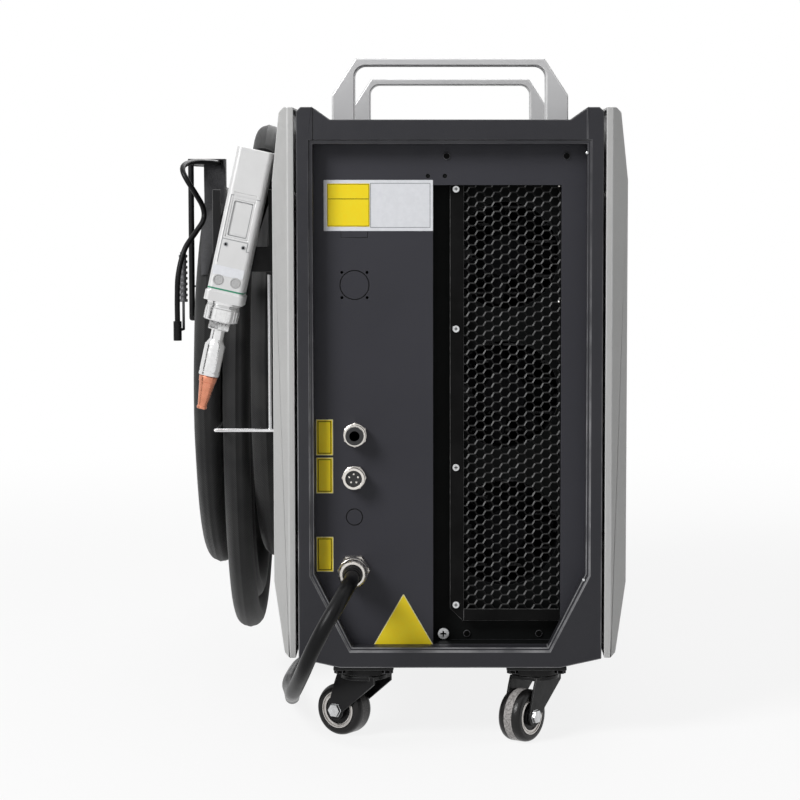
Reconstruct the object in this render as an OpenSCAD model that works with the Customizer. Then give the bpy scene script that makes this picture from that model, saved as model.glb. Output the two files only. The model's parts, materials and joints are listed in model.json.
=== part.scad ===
// Air-cooled laser welding machine on four swivel casters.
// Modelled in millimetres, +Z up. The connector end faces -Y, the control end faces +Y.

/* [Cabinet] */
// Width of the moulded end frames
frame_w = 241; // [220:1:262]
// Length over the two end frames
cabinet_l = 645; // [600:1:700]
// Height of an end frame from its foot to its ears
frame_h = 443.8; // [420:0.2:480]
// Depth of an end frame along the cabinet
frame_d = 40; // [34:1:60]
// Height of the ears above the middle of the frame
ear_h = 9.7; // [5:0.1:16]
// Height of the frame's top bar
top_bar_h = 19.1; // [14:0.1:26]
// Height of the frame's bottom bar
bottom_bar_h = 16.1; // [12:0.1:22]
// Width of the frame's side bars
side_bar_w = 12.8; // [10:0.1:18]
// How far the end panels lie behind the frame's face
panel_recess = 18; // [10:0.5:24]
// Thickness of the sheet metal
sheet_t = 1.5; // [1:0.1:2.5]
// How far the end panels reach behind the frame's lip
panel_lap = 5; // [3:0.5:6]
// Drop of the top cover below the frame's top edge
cover_drop = 5; // [2:0.5:9]

/* [Side panels] */
// Dark gap between the body and a side panel
side_gap = 2; // [1:0.1:4]
// Depth of a side panel from its inner edge to its outer face
side_t = 17.6; // [14:0.1:24]
// Wall of a side panel
side_wall = 2.5; // [1.5:0.1:4]
// Height of the slope at a side panel's top
side_top_slope_h = 56.8; // [40:0.2:80]
// Height of the slope at a side panel's bottom
side_bottom_slope_h = 60.2; // [40:0.2:80]
// How far the panel draws in at its top
side_top_in = 5.8; // [2:0.1:10]
// How far the panel draws in at its bottom
side_bottom_in = 8.4; // [2:0.1:12]
// Length of the bevel at a side panel's ends
side_bevel_l = 9; // [4:0.5:16]

/* [Handles] */
// Width of a handle over its legs
handle_w = 194; // [160:1:210]
// Depth of a handle's bar along the cabinet
handle_d = 28; // [20:1:40]
// Height of a handle above the top cover
handle_h = 57.3; // [45:0.1:75]
// Thickness of the bar under the hand
handle_bar_t = 6; // [4:0.5:10]
// Width of a handle's leg
handle_leg_w = 18.5; // [12:0.5:26]
// Distance of a handle from the end of the cabinet
handle_end = 100; // [60:1:150]

/* [Casters] */
// Height of a caster from the floor to its plate's top
caster_h = 60.6; // [56:0.2:80]
// Wheel diameter
wheel_d = 42; // [34:1:46]
// Wheel width
wheel_w = 20; // [14:1:24]
// Trail of the wheel behind its swivel
caster_trail = 20; // [12:0.5:24]
// Half the distance between the swivels across the cabinet
caster_x = 69; // [60:0.5:80]
// Distance of a swivel from the end of the cabinet
caster_end = 26; // [24:0.5:60]

/* [Fans] */
// Side of a fan's square frame
fan_size = 92; // [80:1:96]
// Depth of a fan
fan_d = 25; // [20:1:32]
// Depth of the grille's recess behind the connector panel
fan_recess_d = 20; // [14:0.5:20]
// Height of the grille's hexagons
grille_hex = 8.6; // [5:0.1:12]
// Distance between the grille's hexagons
grille_pitch = 11.1; // [9:0.1:18]

/* [Connectors] */
// Across the corners of the gas fitting's hexagon
gas_hex = 20; // [17:0.5:26]
// Gas tube diameter
gas_tube_d = 8; // [6:1:10]
// Across the corners of the power gland's hexagon
gland_hex = 26; // [22:0.5:32]
// Diameter of the power cable
cable_d = 12; // [9:0.5:14]

/* [Gun and hose] */
// Diameter of the umbilical hose
hose_d = 23; // [16:0.5:23.2]
// Width of the gun's body
gun_w = 29; // [24:0.5:30]
// Depth of the gun's body
gun_d = 35; // [28:0.5:38]
// Height of the gun's body
gun_h = 124; // [100:1:140]
// Lean of the gun from upright
gun_tilt = 12.5; // [8:0.5:15]
// Rise of the gun's grip
grip_rise = 34; // [30:1:38]
// Diameter of the hose hook's rod
hook_rod_d = 5; // [3:0.5:6]
// Diameter of the keeper's wire
keeper_d = 3; // [2:0.5:3]

/* [Controls] */
// Diameter of the emergency stop's knob
stop_d = 40; // [30:1:50]
// Travel of the emergency stop
stop_travel = 5; // [3:0.5:6]
// Width of the touch screen's bezel
screen_w = 150; // [120:1:180]
// Height of the touch screen's bezel
screen_h = 100; // [80:1:120]

/* [Hidden] */
CORNERS = ["rl", "rr", "fl", "fr"];

// Overrun of a cut past the face that it opens
cut = 1;
// Gap between pieces that lie beside each other
fit = 0.3;
// Radial clearance of a shaft in its hole
run_fit = 0.05;
round_fn = 48;
small_fn = 24;

// Heights of the cabinet
base_z = caster_h;
ear_z = base_z + frame_h;
roof_z = ear_z - ear_h;
cover_z = roof_z - cover_drop;
open_top_z = roof_z - top_bar_h;
open_bottom_z = base_z + bottom_bar_h;
body_x = frame_w / 2;
open_x = body_x - side_bar_w;
// Flat under the frame, and the rise of its outer corners
foot_flat_w = 175.2;
foot_rise = 7.3;
// The opening's lower corners are cut off
open_corner_w = 29.7;
open_corner_h = 59.3;
// The ears
ear_top_w = 9;
ear_slope_w = 13.5;
ear_chamfer = 3.5;

// The part's origin: the middle of its footprint, on the floor
panel_x = body_x + side_gap;
side_x = panel_x + side_t;
gland_tip_y = -26;
hose_gland_l = 33;
hose_r = hose_d / 2;
// Gaps from the side panel to the inner layer of hose, and on to the next two
hose_side_gap = 3.4;
hose_inner_gap = 2.5;
hose_outer_gap = 4.5;
layer_c_x = -side_x - hose_side_gap - hose_r;
layer_a_x = layer_c_x - hose_d - hose_inner_gap;
layer_d_x = layer_a_x - hose_d - hose_outer_gap;
hook_gap = 1;
hook_x = layer_d_x - hose_r - hook_gap - hook_rod_d / 2;
front_face_y = cabinet_l - panel_recess;
hose_exit_y = front_face_y + hose_gland_l;
stop_reach = 38;
part_end_y = front_face_y + stop_reach;
origin_x = (side_x + hook_x - hook_rod_d / 2) / 2;
origin_y = (part_end_y + gland_tip_y) / 2;

// Moves a piece from the cabinet's rear centre to the part's origin
module placed() {
    translate([-origin_x, -origin_y, 0]) children();
}

// Shapes that repeat

// A cylinder along Y from y0 to y1
module rod_y(y0, y1, radius, fn = round_fn) {
    translate([0, y0, 0]) rotate([-90, 0, 0]) cylinder(h = y1 - y0, r = radius, $fn = fn);
}

// A cone along Y from y0 to y1
module cone_y(y0, y1, r0, r1, fn = round_fn) {
    translate([0, y0, 0]) rotate([-90, 0, 0]) cylinder(h = y1 - y0, r1 = r0, r2 = r1, $fn = fn);
}

// An outline in X and Z, extruded along Y from y0 to y1
module slab_y(y0, y1) {
    translate([0, y1, 0]) rotate([90, 0, 0]) linear_extrude(height = y1 - y0) children();
}

// A box between two corners
module block(low, high) {
    translate(low) cube(high - low);
}

// A rectangle with round corners, centred
module round_rect(w, h, r, fn = small_fn) {
    square([w - 2 * r, h], center = true);
    square([w, h - 2 * r], center = true);
    for (sx = [-1, 1], sy = [-1, 1])
        translate([sx * (w / 2 - r), sy * (h / 2 - r)]) circle(r = r, $fn = fn);
}

// Round wire along a list of points, with a ball at each bend
module wire(points, radius, fn = small_fn) {
    for (i = [0 : len(points) - 2]) {
        step = points[i + 1] - points[i];
        len_xy = norm([step[0], step[1]]);
        translate(points[i])
            rotate([0, atan2(len_xy, step[2]), atan2(step[1], step[0])])
                cylinder(h = norm(step), r = radius, $fn = fn);
    }
    for (i = [1 : len(points) - 2])
        translate(points[i]) sphere(r = radius, $fn = fn);
}

// Sweeping a tube along points

function unit(v) = v / norm(v);
function heading(points, i) =
    unit(points[min(i + 1, len(points) - 1)] - points[max(i - 1, 0)]);
// A direction square to the path, carried along it without twist
function turned(normal, tangent) = unit(normal - tangent * (normal * tangent));
function first_normal(tangent) =
    turned(abs(tangent[2]) < 0.9 ? [0, 0, 1] : [1, 0, 0], tangent);
function normals(points, i = 0, found = []) =
    i == len(points) ? found :
    normals(points, i + 1, concat(found, [
        i == 0 ? first_normal(heading(points, 0)) :
        turned(found[i - 1], heading(points, i))]));

// A closed tube of flat sides along points
module tube(points, radius, sides) {
    across = normals(points);
    rings = [for (i = [0 : len(points) - 1])
        let (t = heading(points, i), n = across[i], b = cross(t, n))
        for (s = [0 : sides - 1])
            let (a = 360 * (s + 0.5) / sides)
            points[i] + radius * (cos(a) * n + sin(a) * b)];
    last = (len(points) - 1) * sides;
    walls = [for (i = [0 : len(points) - 2], s = [0 : sides - 1])
        let (s2 = (s + 1) % sides, low = i * sides, high = low + sides)
        each [[low + s, high + s2, low + s2], [low + s, high + s, high + s2]]];
    start_cap = [for (s = [1 : sides - 2]) [0, s, s + 1]];
    end_cap = [for (s = [1 : sides - 2]) [last, last + s + 1, last + s]];
    polyhedron(points = rings, faces = concat(walls, start_cap, end_cap));
}

// Points of a smooth curve through a hand-chosen route, a given number to each leg
function spline_point(a, b, c, d, t) =
    0.5 * (2 * b + (c - a) * t + (2 * a - 5 * b + 4 * c - d) * t * t
    + (3 * b - a - 3 * c + d) * t * t * t);
function smooth(route, steps) = concat(
    [for (i = [0 : len(route) - 2], s = [0 : steps - 1])
        let (a = route[max(i - 1, 0)], b = route[i], c = route[i + 1],
            d = route[min(i + 2, len(route) - 1)])
        spline_point(a, b, c, d, s / steps)],
    [route[len(route) - 1]]);

// Least gap of a wound tube to itself, over turns that lie apart on the path
function least_gap(points, radius, apart) =
    min([for (i = [0 : 2 : len(points) - 1])
        min([for (j = [0 : len(points) - 1])
            abs(i - j) < apart ? 10 * radius : norm(points[i] - points[j])])]) - 2 * radius;

// Cabinet outlines in X and Z

// Outer line of an end frame, drawn in by a given amount
function foot_points(g) = [
    [-foot_flat_w / 2, base_z + g], [foot_flat_w / 2, base_z + g],
    [body_x - g, base_z + foot_rise + g]];

module frame_outline() {
    polygon(concat(foot_points(0), [
        [body_x, ear_z - ear_chamfer], [body_x - ear_chamfer, ear_z],
        [body_x - ear_chamfer - ear_top_w, ear_z],
        [body_x - ear_chamfer - ear_top_w - ear_slope_w, roof_z],
        [-body_x + ear_chamfer + ear_top_w + ear_slope_w, roof_z],
        [-body_x + ear_chamfer + ear_top_w, ear_z],
        [-body_x + ear_chamfer, ear_z], [-body_x, ear_z - ear_chamfer],
        [-body_x, base_z + foot_rise]]));
}

// The frame's opening, grown by a given amount
module open_outline(g) {
    polygon([
        [-open_x + open_corner_w - g / 2, open_bottom_z - g],
        [open_x - open_corner_w + g / 2, open_bottom_z - g],
        [open_x + g, open_bottom_z + open_corner_h - g / 2],
        [open_x + g, open_top_z + g], [-open_x - g, open_top_z + g],
        [-open_x - g, open_bottom_z + open_corner_h - g / 2]]);
}

// An end frame with its face at Y = 0, and a rebate behind for the panel
lip_bevel = 3;
module end_frame() {
    difference() {
        slab_y(0, frame_d) frame_outline();
        slab_y(-cut, frame_d + cut) open_outline(0);
        slab_y(-cut, lip_bevel / 2) open_outline(lip_bevel);
        slab_y(panel_recess, frame_d + cut) open_outline(panel_lap);
    }
}

module mirrored_end() {
    translate([0, cabinet_l, 0]) mirror([0, 1, 0]) children();
}

// End frames, base pan and top cover

module rear_frame() {
    color("#3c3d43") placed() end_frame();
}

module front_frame() {
    color("#3c3d43") placed() mirrored_end() end_frame();
}

// Outline of the pan, drawn in by a given amount
module pan_profile(g) {
    polygon(concat(foot_points(g), [
        [body_x - g, cover_z - sheet_t], [-body_x + g, cover_z - sheet_t],
        [-body_x + g, base_z + foot_rise + g]]));
}

module base_pan() {
    color("#33343a") placed() difference() {
        slab_y(frame_d, cabinet_l - frame_d) pan_profile(0);
        slab_y(frame_d - cut, cabinet_l - frame_d + cut) pan_profile(sheet_t);
        block([-body_x + sheet_t, frame_d - cut, cover_z - 3 * sheet_t],
            [body_x - sheet_t, cabinet_l - frame_d + cut, cover_z + cut]);
    }
}

// Flange of the top cover, lapping the pan's walls
cover_flange_h = 18;
module top_cover() {
    color("#4a4b51") placed() {
        block([-body_x, frame_d, cover_z - sheet_t],
            [body_x, cabinet_l - frame_d, cover_z]);
        for (s = [-1, 1])
            translate([s * (body_x - 1.5 * sheet_t), 0, 0])
                block([-sheet_t / 2, frame_d, cover_z - sheet_t - cover_flange_h],
                    [sheet_t / 2, cabinet_l - frame_d, cover_z - sheet_t]);
    }
}

// Side panels

side_bottom_rise = 8.1;
side_bottom_z = base_z + side_bottom_rise;
// Width of a side panel's flat end face, between its inner edge and the bevel
side_end_flat = 5;
side_corner = 4;

// Section of a side panel, drawn in by a given amount
module side_section(g) {
    polygon([
        [panel_x - (g > 0 ? cut : 0), side_bottom_z + g],
        [side_x - side_bottom_in - side_corner, side_bottom_z + g],
        [side_x - side_bottom_in - g, side_bottom_z + side_corner + g],
        [side_x - g, side_bottom_z + side_bottom_slope_h],
        [side_x - g, ear_z - side_top_slope_h],
        [side_x - side_top_in - g, ear_z - side_corner - g],
        [side_x - side_top_in - side_corner, ear_z - g],
        [panel_x - (g > 0 ? cut : 0), ear_z - g]]);
}

module side_form(g) {
    intersection() {
        slab_y(g, cabinet_l - g) side_section(g);
        translate([0, 0, base_z]) linear_extrude(height = frame_h)
            polygon([
                [panel_x - (g > 0 ? cut : 0), g], [panel_x + side_end_flat - g / 2, g],
                [side_x - g, side_bevel_l + g / 2], [side_x - g, cabinet_l - side_bevel_l - g / 2],
                [panel_x + side_end_flat - g / 2, cabinet_l - g],
                [panel_x - (g > 0 ? cut : 0), cabinet_l - g]]);
    }
}

// Bushes that hold a side panel off the body
bush_r = 7;
bush_end = 90;
bush_low_z = 150;
bush_high_z = 430;
module side_bushes() {
    for (y = [bush_end, cabinet_l / 2, cabinet_l - bush_end], z = [bush_low_z, bush_high_z])
        translate([body_x, y, z]) rotate([0, 90, 0])
            cylinder(h = side_x - side_wall - body_x, r = bush_r, $fn = small_fn);
}

module side_panel() {
    difference() {
        side_form(0);
        side_form(side_wall);
    }
    side_bushes();
}

module side_panel_left() {
    color("#a9a9a7") placed() mirror([1, 0, 0]) side_panel();
}

module side_panel_right() {
    color("#a9a9a7") placed() side_panel();
}

// Fan bay: recess in the connector panel, floor behind it, three fans and the grille

recess_left = -13.5;
recess_right = 88.3;
recess_drop = 32;
recess_bottom = open_bottom_z;
recess_top = open_top_z - recess_drop;
recess_floor_y = panel_recess + fan_recess_d;
grille_left = 0;
fan_x = (grille_left + recess_right) / 2;
// Shares of the bay's free height above the top fan, and between two fans
fan_top_share = 0.112;
fan_gap_share = 0.2145;
fan_free_h = recess_top - recess_bottom - 3 * fan_size;
fan_top_z = recess_top - fan_top_share * fan_free_h - fan_size / 2;
fan_pitch = fan_size + fan_gap_share * fan_free_h;
fan_z = [for (i = [0 : 2]) fan_top_z - i * fan_pitch];
fan_bore_r = fan_size / 2 - 3;
fan_y = recess_floor_y + sheet_t;
fan_motor_r = 18;
fan_motor_t = 3;
fan_strut_w = 5;
fan_corner_r = 4;
rotor_gap = 1.5;
rotor_hub_r = 17;
rotor_shaft_r = 1.5;
rotor_hub_d = fan_d - fan_motor_t - 2 * rotor_gap;
blade_count = 7;
blade_chord = 17;
blade_t = 2;
blade_tilt = 38;
blade_tip_r = fan_bore_r - rotor_gap;

// Fittings' places on the connector panel, in X and Z
gas_rise = 185.1;
gas_at = [-75.5, base_z + gas_rise];
signal_rise = 150.8;
signal_at = [-76.4, base_z + signal_rise];
gland_rise = 76.4;
gland_at = [-76.9, base_z + gland_rise];
gas_thread_r = 7.4;
signal_thread_r = 8;
gland_thread_r = 10;
spare_hole_rise = 118.7;
spare_hole_at = [-76.3, base_z + spare_hole_rise];
knockout_drop = 111;
knockout_at = [-75.7, open_top_z - knockout_drop];
knockout_r = 11.5;
knockout_pin_r = 1.2;
knockout_pin_pitch = 20;
spare_hole_r = 6.5;
score_d = 0.5;
score_w = 0.8;

// Screws: the grille's, the recess floor's and the panel's, in X and Z
grille_rise = 17.3;
grille_bottom = recess_bottom + grille_rise;
grille_t = 1.2;
grille_depth = 9;
grille_y = panel_recess + grille_depth;
grille_corner = 8;
grille_screw_x = 4.8;
grille_screw_end = 3.2;
grille_screw_foot = 13;
grille_screw_step = (recess_top - grille_screw_end - grille_bottom - grille_screw_foot) / 3;
grille_screws = [for (i = [0 : 3])
    [grille_screw_x, recess_top - grille_screw_end - i * grille_screw_step]];
floor_screw_rise = 5.2;
floor_screws = [for (x = [-5.4, 13.6, 71.9]) [x, recess_bottom + floor_screw_rise]];
panel_screw_drop = 9.2;
panel_screw_places = [for (x = [-2.7, 92.1]) [x, open_top_z - panel_screw_drop]];
screw_r = 1.6;
screw_head_r = 2.8;
screw_head_h = 1.6;
big_head_r = 4.7;
big_head_h = 3;

module at_panel(place) {
    translate([place[0], 0, place[1]]) children();
}

module ring_score(radius) {
    difference() {
        rod_y(panel_recess - cut, panel_recess + score_d, radius + score_w / 2);
        rod_y(panel_recess - 2 * cut, panel_recess + score_d + cut, radius - score_w / 2);
    }
}

// The fan bay's hollow between two depths, grown by a wall
module bay_form(wall, y0, y1) {
    intersection() {
        block([recess_left - wall, y0, recess_bottom - wall],
            [recess_right + wall, y1, recess_top + wall]);
        slab_y(y0 - cut, y1 + cut) open_outline(panel_lap - fit - sheet_t + wall);
    }
}

module rear_panel() {
    color("#33343a") placed() {
        difference() {
            slab_y(panel_recess, panel_recess + sheet_t) open_outline(panel_lap - fit);
            bay_form(0, panel_recess - cut, panel_recess + sheet_t + cut);
            at_panel(gas_at) rod_y(0, frame_d, gas_thread_r + fit);
            at_panel(signal_at) rod_y(0, frame_d, signal_thread_r + fit);
            at_panel(gland_at) rod_y(0, frame_d, gland_thread_r + fit);
            at_panel(knockout_at) ring_score(knockout_r);
            at_panel(spare_hole_at) ring_score(spare_hole_r);
            for (sx = [-1, 1], sz = [-1, 1])
                at_panel(knockout_at + [sx, sz] * knockout_pin_pitch / 2)
                    rod_y(0, frame_d, knockout_pin_r, small_fn);
            for (p = panel_screw_places)
                at_panel(p) rod_y(0, frame_d, screw_r, small_fn);
        }
        // Walls and floor of the fan bay, its lower corner cut off along the frame
        difference() {
            bay_form(sheet_t, panel_recess + sheet_t, recess_floor_y + sheet_t);
            bay_form(0, panel_recess, recess_floor_y);
            for (z = fan_z)
                translate([fan_x, 0, z]) rod_y(0, fan_y + cut, fan_bore_r);
            for (p = floor_screws)
                at_panel(p) rod_y(0, fan_y + cut, screw_r, small_fn);
        }
    }
}

// Perforated plate on two folded feet
grille_foot_l = 16;
grille_margin = 14.4;
module fan_grille() {
    first_z = grille_bottom + grille_pitch;
    first_x = grille_left + grille_margin;
    column_step = grille_pitch * sqrt(3) / 2;
    columns = floor((recess_right - first_x - grille_hex / 2) / column_step);
    rows = floor((recess_top - grille_pitch - first_z) / grille_pitch);
    color("#1d1d20") placed() {
        difference() {
            block([grille_left, grille_y, grille_bottom],
                [recess_right - fit, grille_y + grille_t, recess_top - fit]);
            slab_y(grille_y - cut, grille_y + grille_t + cut) {
                for (i = [0 : columns - 1], j = [0 : rows - 1])
                    translate([first_x + i * column_step,
                        first_z + (j + (i % 2) / 2) * grille_pitch])
                        circle(r = grille_hex / sqrt(3), $fn = 6);
                polygon([[grille_left - cut, grille_bottom - cut],
                    [grille_left + grille_corner, grille_bottom - cut],
                    [grille_left - cut, grille_bottom + grille_corner]]);
            }
            for (p = grille_screws)
                at_panel(p) rod_y(0, frame_d, screw_r, small_fn);
        }
        // Folded feet down to the bay's floor
        for (z = [grille_bottom + grille_corner, recess_top - grille_corner - grille_foot_l])
            block([grille_left, grille_y + grille_t, z],
                [grille_left + grille_t, recess_floor_y, z + grille_foot_l]);
    }
}

module fan_frame() {
    difference() {
        slab_y(0, fan_d) round_rect(fan_size, fan_size, fan_corner_r);
        rod_y(-cut, fan_d - fan_motor_t, fan_bore_r);
        difference() {
            rod_y(fan_d - fan_motor_t - cut, fan_d + cut, fan_bore_r);
            rod_y(0, fan_d + 2 * cut, fan_motor_r);
            for (a = [45, 135])
                rotate([0, a, 0]) block([-fan_size / 2, 0, -fan_strut_w / 2],
                    [fan_size / 2, fan_d + 2 * cut, fan_strut_w / 2]);
        }
        rod_y(0, fan_d + cut, rotor_shaft_r + run_fit, small_fn);
    }
}

module fan_frames() {
    color("#222226") placed() for (z = fan_z) translate([fan_x, fan_y, z]) fan_frame();
}

module rotor(z) {
    color("#18181b") placed() translate([fan_x, fan_y, z]) {
        rod_y(rotor_gap, rotor_gap + rotor_hub_d, rotor_hub_r);
        rod_y(rotor_gap, fan_d - fit, rotor_shaft_r, small_fn);
        for (i = [0 : blade_count - 1])
            rotate([0, i * 360 / blade_count, 0])
                translate([rotor_hub_r - blade_t, rotor_gap + rotor_hub_d / 2, 0])
                    rotate([blade_tilt, 0, 0])
                        translate([0, -blade_t / 2, -blade_chord / 2])
                            cube([blade_tip_r - rotor_hub_r, blade_t, blade_chord]);
    }
}

module rotor_top() { rotor(fan_z[0]); }
module rotor_middle() { rotor(fan_z[1]); }
module rotor_bottom() { rotor(fan_z[2]); }

// Screws with round heads, each in its own hole

module screw(head_r, head_h, shank_l) {
    rod_y(-head_h, 0, head_r, small_fn);
    rod_y(0, shank_l, screw_r - fit / 2, small_fn);
}

caster_plate_w = 48;
caster_plate_t = 2.5;
caster_bolt_pitch = 38;
caster_bolt_head_h = 3;

module panel_screws() {
    color("#c4c4c2") placed() {
        for (p = grille_screws)
            at_panel(p) translate([0, grille_y, 0]) screw(screw_head_r, screw_head_h, grille_t);
        for (i = [0 : len(floor_screws) - 1])
            at_panel(floor_screws[i]) translate([0, recess_floor_y, 0])
                screw(i == 0 ? big_head_r : screw_head_r, i == 0 ? big_head_h : screw_head_h,
                    sheet_t);
        for (p = panel_screw_places)
            at_panel(p) translate([0, panel_recess, 0])
                screw(screw_head_r, screw_head_h, sheet_t);
        at_casters() for (sx = [-1, 1], sy = [-1, 1])
            translate([sx * caster_bolt_pitch / 2, sy * caster_bolt_pitch / 2,
                base_z - caster_plate_t - caster_bolt_head_h]) {
                cylinder(h = caster_bolt_head_h, r = big_head_r, $fn = 6);
                cylinder(h = caster_bolt_head_h + caster_plate_t, r = screw_r, $fn = small_fn);
            }
    }
}

// Handles

handle_corner_r = 9;
handle_slope_h = 30;
handle_slope_w = 19.5;
module handle(y0) {
    half = handle_w / 2;
    inner = half - handle_leg_w;
    top = cover_z + handle_h;
    corner_r = handle_corner_r;
    chamfer_z = top - handle_slope_h;
    chamfer_x = handle_slope_w;
    color("#d9d9d7") placed() slab_y(y0, y0 + handle_d) difference() {
        polygon([[-half, cover_z], [half, cover_z], [half, chamfer_z],
            [half - chamfer_x, top], [-half + chamfer_x, top], [-half, chamfer_z]]);
        translate([0, cover_z - cut]) {
            translate([-inner, 0]) square([2 * inner, top - handle_bar_t - corner_r - cover_z + cut]);
            translate([-inner + corner_r, 0])
                square([2 * (inner - corner_r), top - handle_bar_t - cover_z + cut]);
        }
        for (s = [-1, 1])
            translate([s * (inner - corner_r), top - handle_bar_t - corner_r])
                circle(r = corner_r, $fn = round_fn);
    }
}

module handle_rear() { handle(handle_end); }
module handle_front() { handle(cabinet_l - handle_end - handle_d); }

// Casters: plate with its raceway, swivelling fork, wheel and tyre

// Direction of the trail at rest, for each corner
trail_turn = [147, 235, 160, 205];
race_r = 19;
race_h = 6;
race_gap = 0.5;
king_r = 4;
king_head_r = 7;
king_head_h = 2;
king_pocket_r = 8;
king_pocket_h = 4.5;
crown_t = 3;
wheel_play = 1;
fork_gap = wheel_w + 2 * wheel_play;
fork_leg_t = 2;
fork_top_w = 36;
axle_r = 3;
axle_boss_r = 8;
axle_head_r = 5.5;
axle_head_t = 2.5;
tyre_t = 6;
hub_r = wheel_d / 2 - tyre_t;
hub_in = 0.5;
hub_w = wheel_w - 2 * hub_in;
tyre_shoulder = 3;
race_z = base_z - caster_plate_t - race_h;
crown_z = race_z - race_gap;

function corner_place(i) = [
    (i % 2 == 0 ? -1 : 1) * caster_x,
    i < 2 ? caster_end : cabinet_l - caster_end, 0];

module at_casters() {
    for (i = [0 : 3]) translate(corner_place(i)) children();
}

module caster_plates() {
    color("#2b2b2e") placed() at_casters() difference() {
        union() {
            translate([-caster_plate_w / 2, -caster_plate_w / 2, base_z - caster_plate_t])
                cube([caster_plate_w, caster_plate_w, caster_plate_t]);
            translate([0, 0, race_z]) cylinder(h = race_h, r = race_r, $fn = round_fn);
        }
        translate([0, 0, race_z - cut])
            cylinder(h = race_h + caster_plate_t + 2 * cut, r = king_r + run_fit, $fn = round_fn);
        translate([0, 0, base_z - king_pocket_h])
            cylinder(h = king_pocket_h + cut, r = king_pocket_r, $fn = round_fn);
        for (sx = [-1, 1], sy = [-1, 1])
            translate([sx * caster_bolt_pitch / 2, sy * caster_bolt_pitch / 2, race_z])
                cylinder(h = race_h + 2 * caster_plate_t, r = screw_r + fit, $fn = small_fn);
    }
}

// The fork's own frame: swivel at the origin, trail along +X
module fork_frame(i) {
    placed() translate(corner_place(i)) rotate([0, 0, trail_turn[i]]) children();
}

// How far a leg's front edge bulges, and the drop of its back and front corners
fork_bulge = 3;
fork_back_drop = 6;
fork_front_drop = 8;
module fork_leg() {
    axle_z = wheel_d / 2;
    difference() {
        slab_y(0, fork_leg_t) {
            polygon([[-fork_top_w / 2, crown_z], [-fork_top_w / 2, crown_z - fork_back_drop],
                [caster_trail - axle_boss_r, axle_z], [caster_trail + axle_boss_r, axle_z],
                [fork_top_w / 2 + fork_bulge, crown_z - fork_front_drop],
                [fork_top_w / 2, crown_z]]);
            translate([caster_trail, axle_z]) circle(r = axle_boss_r, $fn = round_fn);
        }
        translate([caster_trail, 0, axle_z]) rod_y(-cut, fork_leg_t + cut, axle_r, small_fn);
    }
}

module fork(i) {
    leg_out = fork_gap / 2 + fork_leg_t;
    color("#2b2b2e") fork_frame(i) {
        for (y = [-leg_out, fork_gap / 2]) translate([0, y, 0]) fork_leg();
        block([-fork_top_w / 2, -leg_out, crown_z - crown_t],
            [fork_top_w / 2, leg_out, crown_z]);
        translate([0, 0, crown_z - crown_t])
            cylinder(h = crown_t, r = race_r, $fn = round_fn);
        translate([0, 0, crown_z - crown_t])
            cylinder(h = base_z - king_pocket_h + fit - crown_z + crown_t, r = king_r, $fn = round_fn);
        translate([0, 0, base_z - king_pocket_h + fit])
            cylinder(h = king_head_h, r = king_head_r, $fn = round_fn);
    }
    // The axle bolt with its head and nut
    color("#b9b9b7") fork_frame(i) translate([caster_trail, 0, wheel_d / 2]) {
        rod_y(-leg_out, leg_out, axle_r, small_fn);
        rod_y(leg_out, leg_out + axle_head_t, axle_head_r, 6);
        rod_y(-leg_out - axle_head_t, -leg_out, axle_head_r, 6);
    }
}

module wheel(i) {
    color("#c9c9c8") fork_frame(i) translate([caster_trail, 0, wheel_d / 2]) difference() {
        union() {
            rod_y(-hub_w / 2, hub_w / 2, hub_r);
            rod_y(-wheel_w / 2, wheel_w / 2, axle_boss_r);
        }
        rod_y(-wheel_w, wheel_w, axle_r + run_fit);
    }
}

module tyre(i) {
    r = wheel_d / 2;
    color("#202022") fork_frame(i) translate([caster_trail, 0, wheel_d / 2])
        rotate([90, 0, 0]) rotate_extrude($fn = 2 * round_fn) {
            translate([hub_r, -wheel_w / 2]) square([r - hub_r - tyre_shoulder, wheel_w]);
            translate([hub_r, -wheel_w / 2 + tyre_shoulder])
                square([r - hub_r, wheel_w - 2 * tyre_shoulder]);
            for (s = [-1, 1])
                translate([r - tyre_shoulder, s * (wheel_w / 2 - tyre_shoulder)])
                    circle(r = tyre_shoulder, $fn = small_fn);
        }
}

module fork_rl() { fork(0); }
module fork_rr() { fork(1); }
module fork_fl() { fork(2); }
module fork_fr() { fork(3); }
module wheel_rl() { wheel(0); }
module wheel_rr() { wheel(1); }
module wheel_fl() { wheel(2); }
module wheel_fr() { wheel(3); }
module tyre_rl() { tyre(0); }
module tyre_rr() { tyre(1); }
module tyre_fl() { tyre(2); }
module tyre_fr() { tyre(3); }

// Front panel, screen, emergency stop and key switch

stop_drop = 175.6;
stop_at = [62, open_top_z - stop_drop];
key_at = [-62, open_top_z - stop_drop];
screen_drop = 70.6;
screen_at = [0, open_top_z - screen_drop];
hose_rise = 49.4;
hose_at = [-10, base_z + hose_rise];
stop_barrel_r = 11;
stop_stem_r = 7;
stop_flange_r = 21;
stop_flange_t = 6;
stop_knob_t = 18;
control_depth = 28;
key_barrel_r = 9.5;
key_bezel_r = 14;
key_bezel_t = 5;
key_plug_r = 3.5;
key_bow_r = 11;
key_bow_t = 2.4;
key_bow_gap = 2;
key_eye_r = 3;
key_shank_l = 24;
bezel_t = 6;
bezel_border = 14;
hose_thread_r = 12.5;
slot_w = 130;
slot_h = 5;
slot_pitch = 11;
slot_rise = 60;
slot_clear = 40;
slot_z = hose_at[1] + slot_rise;
slot_count = floor((stop_at[1] - stop_flange_r - slot_clear - slot_z) / slot_pitch);

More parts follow.
